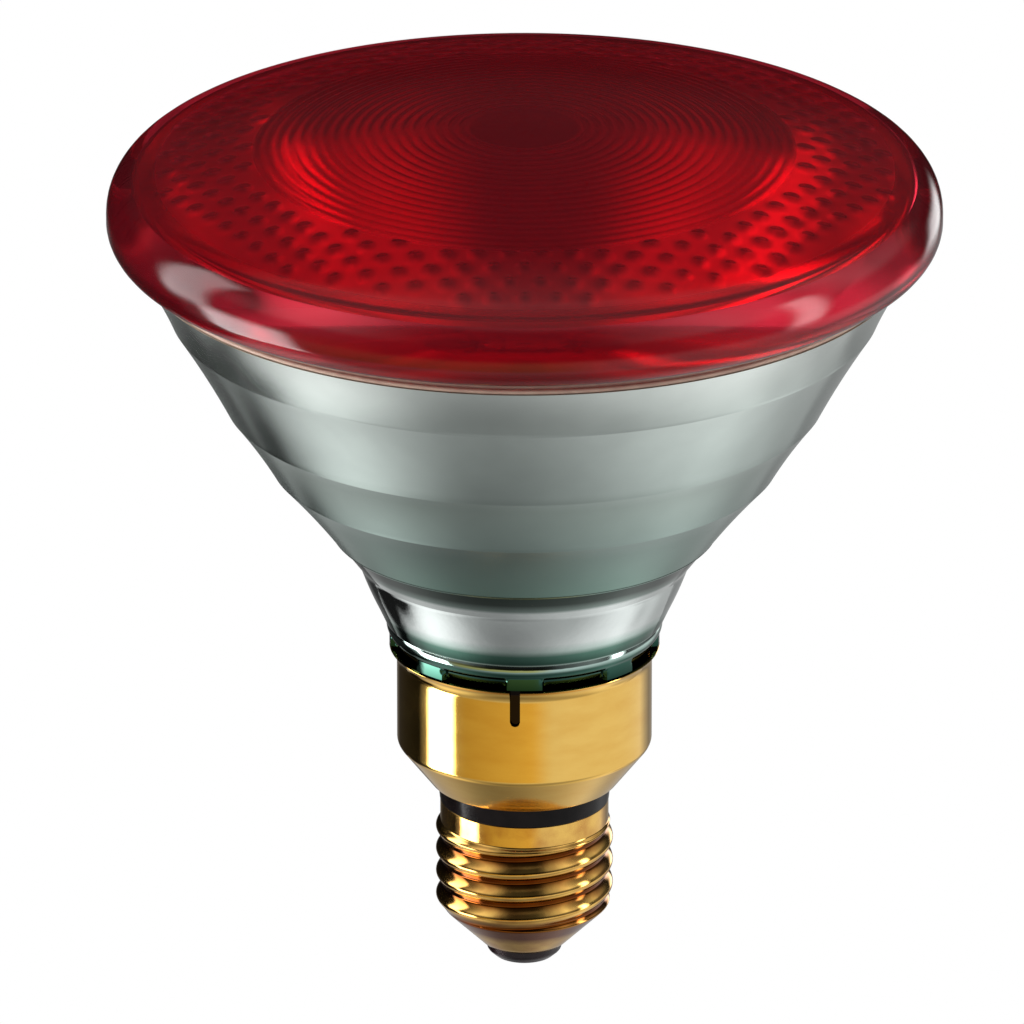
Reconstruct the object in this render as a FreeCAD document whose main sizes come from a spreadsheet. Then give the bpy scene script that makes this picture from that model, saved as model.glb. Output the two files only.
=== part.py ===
import FreeCAD, Part

import math
import os

import Sketcher

# A reflector heat lamp that stands on its centre contact, with its lens up.
# The origin is the lowest point of the solder on the contact. +Z runs along the lamp's axis
# to the lens, and the skirt's visible slot lies near -Y. Lengths are in millimetres.

SIZES = {
    # contact and base insulator
    "solder_height": 0.25,
    "solder_radius": 2.3,
    "solder_flat_radius": 1.7,
    "contact_thickness": 0.4,
    "contact_radius": 3.3,
    "contact_hole_radius": 1.1,
    "insulator_tip_radius": 4.4,
    "insulator_tip_height": 1.0,
    "insulator_waist_radius": 5.5,
    "insulator_drop": 2.35,
    "insulator_inner_height": 3.6,
    "insulator_bore_radius": 1.3,
    # screw shell
    "shell_wall": 0.45,
    "shell_mouth_radius": 6.3,
    "shell_cone_height": 5.8,
    "shell_root_radius": 12.15,
    "shell_barrel_height": 17.0,
    "shell_collar_radius": 12.45,
    "shell_collar_height": 3.6,
    "thread_pitch": 3.629,
    "thread_crest_radius": 13.1,
    "thread_round": 1.025,
    "thread_turns": 5.1,
    "thread_start_drop": 3.9,
    # insulating ring
    "ring_radius": 12.85,
    "ring_foot_radius": 12.5,
    "ring_height": 3.2,
    "ring_bore_radius": 7.5,
    "ring_spigot_height": 1.4,
    "spigot_clearance": 0.1,
    # skirt
    "skirt_sheet": 0.45,
    "skirt_foot_radius": 13.9,
    "skirt_lip_width": 2.6,
    "skirt_cone_height": 6.3,
    "skirt_radius": 18.8,
    "skirt_barrel_height": 12.9,
    "skirt_flare_width": 1.1,
    "skirt_flare_height": 2.2,
    "slot_width": 1.5,
    "slot_depth": 5.8,
    "slot_count": 3,
    "slot_turn": -4.3,
    # reflector neck
    "neck_clearance": 0.15,
    "neck_tail": 10.0,
    "neck_wall": 2.6,
    "neck_shoulder_drop": 1.0,
    "neck_seat_height": 1.9,
    "neck_seat_overlap": 0.7,
    "bead_height": 2.5,
    "bead_lean": 0.7,
    "bead_round": 2.2,
    "throat_height": 2.4,
    "throat_lean": 1.4,
    "neck_height": 6.8,
    "neck_lean": 2.8,
    "neck_curve": 53.0,
    "lug_count": 8,
    "lug_width": 5.8,
    "lug_top_width": 5.0,
    "lug_height": 3.0,
    "lug_reach": 0.4,
    "lug_gap": 0.3,
    # reflector bowl
    "foot_height": 4.6,
    "foot_wall": 5.94,
    "foot_step": 0.35,
    "band_d_height": 11.1,
    "band_d_wall": 4.24,
    "band_c_height": 10.0,
    "band_c_wall": 3.62,
    "band_b_height": 13.7,
    "band_b_wall": 3.24,
    "band_a_height": 8.2,
    "rim_inset": 4.8,
    "rim_width": 3.2,
    "band_hollow": 0.2,
    "filament_rise": 6.84,
    "mirror_first_span": 11.0,
    "mirror_second_span": 14.0,
    "floor_height": 2.0,
    "floor_thickness": 4.5,
    # seal and lens
    "seal_thickness": 0.7,
    "seal_bulge": 0.25,
    "lens_radius": 61.0,
    "lens_dome_radius": 220.0,
    "lens_shoulder": 7.0,
    "lens_plate": 3.2,
    "lens_lip_inset": 0.4,
    "lens_heel_inset": 1.6,
    "lens_heel_rise": 2.0,
    "lens_heel_round": 4.0,
    "lens_side_rise": 4.8,
    "lens_side_height": 1.44,
    "lens_side_wall": 4.8,
    # optics on the lens's inner face
    "lens_disc_radius": 8.25,
    "rib_count": 19,
    "rib_depth": 0.5,
    "rib_cut_clearance": 2.0,
    "dimple_spacing": 4.5,
    "dimple_row_spacing": 3.75,
    "dimple_radius": 1.9,
    "dimple_depth": 0.85,
    "dimple_field_margin": 1.6,
    "dimple_band_width": 15.5,
    "dimple_edge_gap": 0.2,
    "dimple_cut_clearance": 0.4,
    # mount inside the bowl
    "ferrule_offset": 9.5,
    "ferrule_radius": 4.0,
    "ferrule_sheet": 0.4,
    "ferrule_drop": 4.0,
    "ferrule_bite": 2.0,
    "ferrule_hole_radius": 3.0,
    "post_radius": 0.9,
    "post_above_focus": 2.4,
    "braze_height": 1.2,
    "braze_top_width": 0.4,
    "exhaust_radius": 3.0,
    "exhaust_bore_radius": 1.9,
    "exhaust_length": 6.5,
    "exhaust_tip_wall": 1.4,
    "exhaust_tip_height": 2.2,
    "filament_wire_radius": 0.16,
    "coil_radius": 1.0,
    "coil_pitch": 0.72,
    "coil_turns": 20,
    "filament_leg_radius": 0.22,
    "clamp_radius": 0.75,
    "clamp_length": 1.0,
    "bridge_radius": 1.7,
    "bridge_below_focus": 4.8,
    "bridge_overhang": 2.2,
    "hook_wire_radius": 0.28,
    "hook_stem_radius": 0.2,
    "hook_offset": 3.96,
    "hook_clearance": 0.12,
    # leads inside the cap
    "lead_radius": 0.35,
    "contact_lead_bend": 5.0,
    "shell_lead_bend": 2.5,
    "lead_knee_height": 12.6,
    "lead_straight_height": 2.8,
    "shell_lead_lane": 3.75,
    "weld_radius": 0.9,
    "weld_height": 0.6,
    "weld_clearance": 0.1,
}

doc = FreeCAD.newDocument("heat_lamp")
sheet = doc.addObject("Spreadsheet::Sheet", "sizes")
for row, (alias, number) in enumerate(SIZES.items(), start=1):
    sheet.set("A%d" % row, alias)
    sheet.set("B%d" % row, str(number))
    sheet.setAlias("B%d" % row, alias)
doc.recompute()


class Size:
    """A length that knows its value and the sheet formula that gives it."""

    def __init__(self, value, formula):
        self.value = float(value)
        self.formula = formula

    def joined(self, other, sign, value):
        formula = other.formula if isinstance(other, Size) else repr(other)
        return Size(value, "(%s %s %s)" % (self.formula, sign, formula))

    def __add__(self, other):
        return self.joined(other, "+", self.value + number(other))

    def __sub__(self, other):
        return self.joined(other, "-", self.value - number(other))

    def __mul__(self, other):
        return self.joined(other, "*", self.value * number(other))

    def __truediv__(self, other):
        return self.joined(other, "/", self.value / number(other))

    def __neg__(self):
        return Size(-self.value, "(0 - %s)" % self.formula)

    def power(self, exponent):
        return Size(self.value**exponent, "((%s) ^ %s)" % (self.formula, exponent))

    def root(self):
        return Size(math.sqrt(self.value), "sqrt(%s)" % self.formula)


def number(size):
    """The plain number of a Size or of a number."""
    return size.value if isinstance(size, Size) else size


def size(alias):
    """One driving dimension, read from the sheet."""
    return Size(sheet.get(alias), "sizes." + alias)


ZERO = Size(0.0, "0")


def bind(item, target, length):
    """Bind a property or a constraint to the formula of a Size."""
    item.setExpression(target, length.formula)


# Heights above the contact, each from the piece below it

contact_low = size("solder_height")
contact_high = contact_low + size("contact_thickness")
mouth_height = contact_high + size("insulator_drop")
root_low = mouth_height + size("shell_cone_height")
shell_top = root_low + size("shell_barrel_height")
collar_low = shell_top - size("shell_collar_height")
ring_top = shell_top + size("ring_height")
skirt_corner = ring_top + size("skirt_cone_height")
flare_low = skirt_corner + size("skirt_barrel_height")
skirt_rim = flare_low + size("skirt_flare_height")
neck_seat = skirt_rim + size("neck_seat_height")
bead_top = neck_seat + size("bead_height")
neck_low = bead_top + size("throat_height")
neck_top = neck_low + size("neck_height")
foot_top = neck_top + size("foot_height")
band_d_top = foot_top + size("band_d_height")
band_c_top = band_d_top + size("band_c_height")
band_b_top = band_c_top + size("band_b_height")
bowl_top = band_b_top + size("band_a_height")
lens_low = bowl_top + size("seal_thickness")
floor_top = neck_top + size("floor_height")
floor_low = floor_top - size("floor_thickness")

# Radii that follow from the lens, which rests on the rim of the bowl

lens_radius = size("lens_radius")
bowl_radius = lens_radius - size("rim_inset")
mirror_rim = bowl_radius - size("rim_width")
lens_lip = bowl_radius - size("lens_lip_inset")
lens_inner = lens_radius - size("lens_side_wall")
dimple_field = lens_inner - size("dimple_field_margin")
rib_field = dimple_field - size("dimple_band_width")

# The mirror is a paraboloid through its rim, with the filament's axis through its focus

focus_height = floor_top + size("filament_rise")
mirror_depth = bowl_top - focus_height
mirror_focus = ((mirror_depth.power(2) + mirror_rim.power(2)).root() - mirror_depth) / 2
mirror_vertex = focus_height - mirror_focus


def mirror_radius(height):
    """Radius of the mirror at a height."""
    return (mirror_focus * 4 * (height - mirror_vertex)).root()


class Arc:
    """A round stretch of an outline: its radius, and whether it turns left on its way."""

    def __init__(self, radius, left):
        self.radius = radius
        self.left = left


def arc_geometry(start, end, arc):
    """Sketch arc through two corners, always drawn counterclockwise."""
    first, last = (start, end) if arc.left else (end, start)
    first = FreeCAD.Vector(first[0].value, first[1].value, 0)
    last = FreeCAD.Vector(last[0].value, last[1].value, 0)
    chord = last - first
    rise = math.sqrt(max(arc.radius.value**2 - (chord.Length / 2) ** 2, 0.0))
    across = FreeCAD.Vector(-chord.y, chord.x, 0).normalize()
    centre = (first + last) * 0.5 + across * rise
    begin = math.atan2(first.y - centre.y, first.x - centre.x)
    finish = math.atan2(last.y - centre.y, last.x - centre.x)
    circle = Part.Circle(centre, FreeCAD.Vector(0, 0, 1), arc.radius.value)
    return Part.ArcOfCircle(circle, begin, finish)


def new_sketch(body, name, plane):
    """An empty sketch on one of the body's own origin planes."""
    sketch = body.newObject("Sketcher::SketchObject", name)
    planes = {feature.Role: feature for feature in body.Origin.OriginFeatures}
    sketch.AttachmentSupport = [(planes[plane], "")]
    sketch.MapMode = "FlatFace"
    return sketch


def place_point(sketch, edge, end, corner):
    """Hold one end of an edge at a corner whose coordinates come from the sheet."""
    for axis, kind, line in ((0, "DistanceX", -2), (1, "DistanceY", -1)):
        length = corner[axis]
        if length is ZERO:
            sketch.addConstraint(Sketcher.Constraint("PointOnObject", edge, end, line))
        else:
            rule = Sketcher.Constraint(kind, -1, 1, edge, end, length.value)
            index = sketch.addConstraint(rule)
            bind(sketch, "Constraints[%d]" % index, length)


def draw_outline(sketch, items):
    """A closed outline of corners, with an Arc between two corners where it is round."""
    corners = [item for item in items if not isinstance(item, Arc)]
    bends = {}
    count = -1
    for item in items:
        if isinstance(item, Arc):
            bends[count] = item
        else:
            count += 1
    offset = sketch.GeometryCount
    ends = []
    for index, corner in enumerate(corners):
        following = corners[(index + 1) % len(corners)]
        bend = bends.get(index)
        if bend:
            edge = sketch.addGeometry(arc_geometry(corner, following, bend))
            rule = Sketcher.Constraint("Radius", edge, bend.radius.value)
            held = sketch.addConstraint(rule)
            bind(sketch, "Constraints[%d]" % held, bend.radius)
            ends.append((1, 2) if bend.left else (2, 1))
        else:
            first = FreeCAD.Vector(corner[0].value, corner[1].value, 0)
            last = FreeCAD.Vector(following[0].value, following[1].value, 0)
            sketch.addGeometry(Part.LineSegment(first, last))
            ends.append((1, 2))
    for index, corner in enumerate(corners):
        before = (index - 1) % len(corners)
        joint = (offset + before, ends[before][1], offset + index, ends[index][0])
        sketch.addConstraint(Sketcher.Constraint("Coincident", *joint))
        place_point(sketch, offset + index, ends[index][0], corner)


def draw_circle(sketch, centre, radius):
    """A circle whose centre and radius come from the sheet."""
    middle = FreeCAD.Vector(centre[0].value, centre[1].value, 0)
    circle = Part.Circle(middle, FreeCAD.Vector(0, 0, 1), radius.value)
    edge = sketch.addGeometry(circle)
    rule = Sketcher.Constraint("Radius", edge, radius.value)
    held = sketch.addConstraint(rule)
    bind(sketch, "Constraints[%d]" % held, radius)
    place_point(sketch, edge, 3, centre)


def new_body(label):
    """An empty body that becomes one sub-part."""
    body = doc.addObject("PartDesign::Body", label)
    body.Label = label
    return body


def turned(body, items, name="section", cut=False):
    """Turn an outline of radius and height about the lamp's axis, as material or as a cut."""
    sketch = new_sketch(body, name, "XZ_Plane")
    draw_outline(sketch, items)
    kind = "PartDesign::Groove" if cut else "PartDesign::Revolution"
    feature = body.newObject(kind, name + ("_cut" if cut else "_turn"))
    feature.Profile = sketch
    feature.ReferenceAxis = (sketch, ["V_Axis"])
    feature.Angle = 360
    return feature


def around_axis(body, feature, count, name):
    """Repeat a feature evenly around the lamp's axis."""
    axes = {item.Role: item for item in body.Origin.OriginFeatures}
    pattern = body.newObject("PartDesign::PolarPattern", name)
    pattern.Originals = [feature]
    pattern.Axis = (axes["Z_Axis"], [""])
    pattern.Angle = 360
    bind(pattern, "Occurrences", count)
    body.Tip = pattern
    return pattern


PARTS = []


def keep(part):
    """Put a finished sub-part on the list of those that are written out."""
    PARTS.append(part)
    return part


# Centre contact, its solder and the glass around it

solder_radius = size("solder_radius")
solder_flat = size("solder_flat_radius")
contact_hole = size("contact_hole_radius")


def make_contact():
    contact_radius = size("contact_radius")
    body = keep(new_body("centre_contact"))
    turned(body, [
        (contact_hole, contact_low),
        (contact_radius, contact_low),
        (contact_radius, contact_high),
        (contact_hole, contact_high),
    ])


def make_solder():
    body = keep(new_body("contact_solder"))
    turned(body, [
        (ZERO, ZERO),
        (solder_flat, ZERO),
        (solder_radius, contact_low),
        (contact_hole, contact_low),
        (contact_hole, contact_high),
        (ZERO, contact_high),
    ])


shell_wall = size("shell_wall")
mouth_radius = size("shell_mouth_radius")
root_radius = size("shell_root_radius")
cone_slope = (root_radius - mouth_radius) / size("shell_cone_height")
cone_shift = shell_wall * (cone_slope.power(2) + 1).root()


def cone_inside(height):
    """Inner radius of the shell's cone at a height."""
    return mouth_radius + cone_slope * (height - mouth_height) - cone_shift


def make_base_insulator():
    tip = size("insulator_tip_radius")
    tip_top = contact_high + size("insulator_tip_height")
    waist = size("insulator_waist_radius")
    inner_top = mouth_height + size("insulator_inner_height")
    bore = size("insulator_bore_radius")
    body = keep(new_body("base_insulator"))
    turned(body, [
        (bore, contact_high),
        (tip, contact_high),
        (waist, tip_top),
        (cone_inside(mouth_height), mouth_height),
        (cone_inside(inner_top), inner_top),
        (bore, inner_top),
    ])


# Screw shell with its rounded right-hand thread

def make_screw_shell():
    collar = size("shell_collar_radius")
    crest = size("thread_crest_radius")
    round_radius = size("thread_round")
    pitch = size("thread_pitch")
    bore = root_radius - shell_wall
    body = keep(new_body("screw_shell"))
    turned(body, [
        (cone_inside(mouth_height), mouth_height),
        (mouth_radius, mouth_height),
        (root_radius, root_low),
        (root_radius, collar_low),
        (collar, collar_low + (collar - root_radius)),
        (collar, shell_top),
        (collar - shell_wall, shell_top),
        (collar - shell_wall, collar_low + (collar - root_radius)),
        (bore, collar_low),
        (bore, mouth_height + (bore - mouth_radius + cone_shift) / cone_slope),
    ])
    doc.recompute()

    # The ridge has a round crest and flanks at 45 degrees, and its root lies in the wall
    start = root_low - size("thread_start_drop")
    round_centre = crest - round_radius
    shoulder = round_radius * math.sqrt(0.5)
    root = root_radius - shell_wall / 2
    half_width = shoulder + (round_centre + shoulder - root)
    ridge = new_sketch(body, "ridge", "XZ_Plane")
    draw_outline(ridge, [
        (root, start - half_width),
        (round_centre + shoulder, start - shoulder),
        Arc(round_radius, left=True),
        (round_centre + shoulder, start + shoulder),
        (root, start + half_width),
    ])
    doc.recompute()
    thread = body.newObject("PartDesign::AdditiveHelix", "thread")
    thread.Profile = ridge
    thread.ReferenceAxis = (ridge, ["V_Axis"])
    thread.Mode = "pitch-turns-angle"
    bind(thread, "Pitch", pitch)
    bind(thread, "Turns", size("thread_turns"))
    doc.recompute()

    # The thread runs out where the cone and the collar trim its crest
    beyond = crest + round_radius
    low_end = start - pitch
    turned(body, [
        (root_radius + (low_end - root_low) * cone_slope, low_end),
        (beyond, low_end),
        (beyond, root_low + (beyond - root_radius) / cone_slope),
    ], name="low_runout", cut=True)
    turned(body, [
        (collar, collar_low + (collar - root_radius)),
        (beyond, collar_low - (beyond - collar) + (collar - root_radius)),
        (beyond, shell_top),
        (collar, shell_top),
    ], name="high_runout", cut=True)
    turned(body, [
        (ZERO, collar_low),
        (bore, collar_low),
        (collar - shell_wall, collar_low + (collar - root_radius)),
        (collar - shell_wall, shell_top),
        (ZERO, shell_top),
    ], name="collar_bore", cut=True)
    return body


# Insulating ring between the screw shell and the skirt

spigot_clearance = size("spigot_clearance")
skirt_foot = size("skirt_foot_radius")
skirt_lip = skirt_foot - size("skirt_lip_width")


def make_insulating_ring():
    outer = size("ring_radius")
    foot = size("ring_foot_radius")
    bore = size("ring_bore_radius")
    spigot = size("ring_spigot_height")
    low_spigot = size("shell_collar_radius") - shell_wall - spigot_clearance
    high_spigot = skirt_lip - spigot_clearance
    body = keep(new_body("insulating_ring"))
    turned(body, [
        (bore, shell_top - spigot),
        (low_spigot, shell_top - spigot),
        (low_spigot, shell_top),
        (foot, shell_top),
        (outer, ring_top),
        (high_spigot, ring_top),
        (high_spigot, ring_top + spigot),
        (bore, ring_top + spigot),
    ])


# Skirt, spun from sheet, with slots in its flared rim

sheet_wall = size("skirt_sheet")
skirt_radius = size("skirt_radius")


def make_skirt():
    flare = size("skirt_flare_width")
    rim = skirt_radius + flare
    sweep = (size("skirt_flare_height").power(2) + flare.power(2)) / (flare * 2)
    body = keep(new_body("skirt"))
    section = turned(body, [
        (skirt_lip, ring_top),
        (skirt_foot, ring_top),
        (skirt_radius, skirt_corner),
        (skirt_radius, flare_low),
        Arc(sweep, left=False),
        (rim, skirt_rim),
        (rim - sheet_wall, skirt_rim),
        Arc(sweep, left=True),
        (skirt_radius - sheet_wall, flare_low),
        (skirt_radius - sheet_wall, skirt_corner),
        (skirt_foot - sheet_wall, ring_top + sheet_wall),
        (skirt_lip, ring_top + sheet_wall),
    ])
    doc.recompute()

    width = size("slot_width")
    slot_low = skirt_rim - size("slot_depth") + width / 2
    slot_high = skirt_rim + width
    outline = new_sketch(body, "slot_outline", "XZ_Plane")
    draw_outline(outline, [
        (width / 2, slot_low),
        (width / 2, slot_high),
        (-width / 2, slot_high),
        (-width / 2, slot_low),
        Arc(width / 2, left=True),
        (ZERO, slot_low - width / 2),
        Arc(width / 2, left=True),
    ])
    whole = section.Shape.Volume
    slot = body.newObject("PartDesign::Pocket", "slot")
    slot.Profile = outline
    slot.Type = "Length"
    bind(slot, "Length", rim + width)
    slot.Reversed = True
    doc.recompute()
    if slot.Shape.Volume >= whole:
        raise RuntimeError("the slot misses the front of the skirt")
    around_axis(body, slot, size("slot_count"), "slots")
    bind(body, "Placement.Rotation.Angle", size("slot_turn"))
    return body


# Glass reflector: neck, banded bowl and parabolic mirror face

def hollow_arc(first, last):
    """Arc that hollows a band by the same small depth whatever its length."""
    reach = (last[0] - first[0]).power(2) + (last[1] - first[1]).power(2)
    depth = size("band_hollow")
    return Arc(reach / (depth * 8) + depth / 2, left=False)


def mirror_arc(low, high):
    """Arc that follows the paraboloid between two heights, going down."""
    middle = mirror_radius((low + high) / 2)
    bend = ((middle / (mirror_focus * 2)).power(2) + 1).power(1.5)
    return Arc(mirror_focus * 2 * bend, left=False)


def make_reflector():
    seat_radius = skirt_radius + size("neck_seat_overlap")
    bead_radius = seat_radius + size("bead_lean")
    throat_radius = bead_radius + size("throat_lean")
    tail_radius = skirt_radius - sheet_wall - size("neck_clearance")
    tail_low = skirt_rim - size("neck_tail")
    tail_high = skirt_rim - size("neck_shoulder_drop")
    tail_inner = tail_radius - size("neck_wall")
    foot = (mirror_radius(foot_top) + size("foot_wall"), foot_top)
    band_d = (mirror_radius(band_d_top) + size("band_d_wall"), band_d_top)
    band_c = (mirror_radius(band_c_top) + size("band_c_wall"), band_c_top)
    band_b = (mirror_radius(band_b_top) + size("band_b_wall"), band_b_top)
    band_a = (bowl_radius, bowl_top)
    mirror_low = floor_top + size("mirror_first_span")
    mirror_mid = mirror_low + size("mirror_second_span")
    body = keep(new_body("reflector"))
    turned(body, [
        (tail_inner, tail_low),
        (tail_radius, tail_low),
        (tail_radius, tail_high),
        (seat_radius, neck_seat),
        Arc(size("bead_round"), left=True),
        (bead_radius, bead_top),
        (throat_radius, neck_low),
        Arc(size("neck_curve"), left=True),
        (throat_radius + size("neck_lean"), neck_top),
        (foot[0] - size("foot_step"), foot_top),
        foot,
        hollow_arc(foot, band_d),
        band_d,
        hollow_arc(band_d, band_c),
        band_c,
        hollow_arc(band_c, band_b),
        band_b,
        hollow_arc(band_b, band_a),
        band_a,
        (mirror_rim, bowl_top),
        mirror_arc(mirror_mid, bowl_top),
        (mirror_radius(mirror_mid), mirror_mid),
        mirror_arc(mirror_low, mirror_mid),
        (mirror_radius(mirror_low), mirror_low),
        mirror_arc(floor_top, mirror_low),
        (mirror_radius(floor_top), floor_top),
        (ZERO, floor_top),
        (ZERO, floor_low),
        (tail_inner, floor_low),
    ])
    doc.recompute()

    # Lugs of the neck, which stand just above the skirt's rim
    half = size("lug_width") / 2
    half_top = size("lug_top_width") / 2
    lug_low = skirt_rim + size("lug_gap")
    lug_high = lug_low + size("lug_height")
    side = new_sketch(body, "lug_side", "XZ_Plane")
    draw_outline(side, [
        (-half, lug_low),
        (half, lug_low),
        (half_top, lug_high),
        (-half_top, lug_high),
    ])
    lug = body.newObject("PartDesign::Pad", "lug")
    lug.Profile = side
    bind(lug, "Length", seat_radius + size("lug_reach"))
    doc.recompute()
    around_axis(body, lug, size("lug_count"), "lugs")
    doc.recompute()

    # The lugs are drawn from the axis, so the hollow of the neck is cleared again
    turned(body, [
        (ZERO, tail_low),
        (tail_inner, tail_low),
        (tail_inner, floor_low),
        (ZERO, floor_low),
    ], name="neck_hollow", cut=True)
    doc.recompute()

    # Holes of the floor: two for the posts, with a seat for each ferrule, and one for air
    offset = size("ferrule_offset")
    ferrule = size("ferrule_radius")
    seat_depth = size("ferrule_bite")
    holes = new_sketch(body, "floor_holes", "XY_Plane")
    bind(holes, "AttachmentOffset.Base.z", floor_low)
    draw_circle(holes, (offset, ZERO), size("ferrule_hole_radius"))
    draw_circle(holes, (-offset, ZERO), size("ferrule_hole_radius"))
    draw_circle(holes, (ZERO, ZERO), size("exhaust_bore_radius"))
    doc.recompute()
    through = body.newObject("PartDesign::Pocket", "floor_hole")
    through.Profile = holes
    through.Type = "Length"
    through.Reversed = True
    bind(through, "Length", size("floor_thickness") + seat_depth)
    doc.recompute()
    seats = new_sketch(body, "ferrule_seats", "XY_Plane")
    bind(seats, "AttachmentOffset.Base.z", floor_low)
    draw_circle(seats, (offset, ZERO), ferrule)
    draw_circle(seats, (-offset, ZERO), ferrule)
    doc.recompute()
    seat = body.newObject("PartDesign::Pocket", "ferrule_seat")
    seat.Profile = seats
    seat.Type = "Length"
    seat.Reversed = True
    bind(seat, "Length", seat_depth)
    return body


# Seal and lens

def make_rim_seal():
    bulge = lens_lip + size("seal_bulge")
    body = keep(new_body("rim_seal"))
    turned(body, [
        (mirror_rim, bowl_top),
        (bulge, bowl_top),
        (bulge, lens_low),
        (mirror_rim, lens_low),
    ])


dome = size("lens_dome_radius")
inner_dome = dome - size("lens_plate")
shoulder = size("lens_shoulder")
to_shoulder = dome - shoulder
shoulder_radius = lens_radius - shoulder
shoulder_rise = (to_shoulder.power(2) - shoulder_radius.power(2)).root()
lens_side = lens_low + size("lens_side_rise")
side_top = lens_side + size("lens_side_height")
dome_centre = side_top - shoulder_rise
lens_top = dome_centre + dome


def inner_face(radius):
    """Height of the lens's plain inner face at a radius."""
    return dome_centre + (inner_dome.power(2) - radius.power(2)).root()


def make_lens_blank():
    heel = (lens_radius - size("lens_heel_inset"), lens_low + size("lens_heel_rise"))
    meeting = (
        shoulder_radius * dome / to_shoulder,
        dome_centre + shoulder_rise * dome / to_shoulder,
    )
    body = new_body("lens_blank")
    turned(body, [
        (mirror_rim, lens_low),
        (lens_lip, lens_low),
        heel,
        Arc(size("lens_heel_round"), left=True),
        (lens_radius, lens_side),
        (lens_radius, side_top),
        Arc(shoulder, left=True),
        meeting,
        Arc(dome, left=True),
        (ZERO, lens_top),
        (ZERO, lens_top - size("lens_plate")),
        Arc(inner_dome, left=False),
        (lens_inner, inner_face(lens_inner)),
    ])
    doc.recompute()

    # Concentric ribs: a zigzag outline, cut out of the inner face
    first = size("lens_disc_radius")
    pitch = (rib_field - first) / size("rib_count")
    depth = size("rib_depth")
    zigzag = [(first, inner_face(first))]
    for ring in range(int(size("rib_count").value)):
        crest = first + pitch * (ring + 0.5)
        valley = first + pitch * (ring + 1)
        zigzag.append((crest, inner_face(crest) + depth))
        zigzag.append((valley, inner_face(valley)))
    last = zigzag[-1][0]
    below = inner_face(last) - size("rib_cut_clearance")
    zigzag.append((last, below))
    zigzag.append((first, below))
    turned(body, zigzag, name="ribs", cut=True)
    return body


def dimple_cones():
    """Pointed dimples on a staggered lattice, clipped to a ring outside the ribs."""
    spacing = size("dimple_spacing").value
    row_spacing = size("dimple_row_spacing").value
    mouth = size("dimple_radius").value
    depth = size("dimple_depth").value
    clearance = size("dimple_cut_clearance").value
    nearest = (rib_field + size("dimple_edge_gap")).value + mouth
    farthest = dimple_field.value - mouth
    centre = FreeCAD.Vector(0, 0, dome_centre.value)
    shell = inner_dome.value
    cones = []
    rows = int(farthest / row_spacing)
    columns = int(farthest / spacing) + 1
    for row in range(-rows, rows + 1):
        shift = 0.5 * spacing if row % 2 else 0.0
        for column in range(-columns, columns + 1):
            across = column * spacing + shift
            along = row * row_spacing
            reach = math.hypot(across, along)
            if reach < nearest or reach > farthest:
                continue
            rise = math.sqrt(shell**2 - reach**2)
            outward = FreeCAD.Vector(across, along, rise).normalize()
            length = depth + clearance
            foot = centre + outward * (shell - clearance)
            cones.append(Part.makeCone(mouth * length / depth, 0, length, foot, outward))
    return Part.makeCompound(cones)


def make_lens():
    blank = make_lens_blank()
    dimples = doc.addObject("Part::Feature", "dimples")
    dimples.Shape = dimple_cones()
    lens = doc.addObject("Part::Cut", "lens")
    lens.Base = blank
    lens.Tool = dimples
    lens.Label = "lens"
    keep(lens)


# Ferrules, posts and filament

def make_pair(name, build):
    """Two like sub-parts, one each side of the axis along X."""
    offset = size("ferrule_offset")
    for side, sign in (("left", -1), ("right", 1)):
        body = keep(new_body("%s_%s" % (name, side)))
        build(body)
        bind(body, "Placement.Base.x", offset * sign)


cup_low = floor_low - size("ferrule_drop")


def build_ferrule(body):
    outer = size("ferrule_radius")
    wall = size("ferrule_sheet")
    rim = floor_low + size("ferrule_bite")
    turned(body, [
        (ZERO, cup_low),
        (outer, cup_low),
        (outer, rim),
        (outer - wall, rim),
        (outer - wall, cup_low + wall),
        (ZERO, cup_low + wall),
    ])


def build_post(body):
    radius = size("post_radius")
    low = cup_low + size("ferrule_sheet")
    high = focus_height + size("post_above_focus")
    turned(body, [(ZERO, low), (radius, low), (radius, high), (ZERO, high)])


def build_braze(body):
    inner = size("post_radius")
    outer = size("ferrule_radius") - size("ferrule_sheet")
    low = cup_low + size("ferrule_sheet")
    high = low + size("braze_height")
    turned(body, [(inner, low), (outer, low), (inner + size("braze_top_width"), high), (inner, high)])


def make_exhaust_tube():
    outer = size("exhaust_radius")
    bore = size("exhaust_bore_radius")
    low = floor_low - size("exhaust_length")
    wall = size("exhaust_tip_wall")
    body = keep(new_body("exhaust_tube"))
    turned(body, [
        (ZERO, low),
        (bore, low),
        (outer, low + size("exhaust_tip_height")),
        (outer, floor_low),
        (bore, floor_low),
        (bore, low + wall + (outer - bore)),
        (ZERO, low + wall),
    ])


coil_radius = size("coil_radius")
coil_length = size("coil_pitch") * size("coil_turns")
wire_radius = size("filament_wire_radius")
leg_radius = size("filament_leg_radius")


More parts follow.
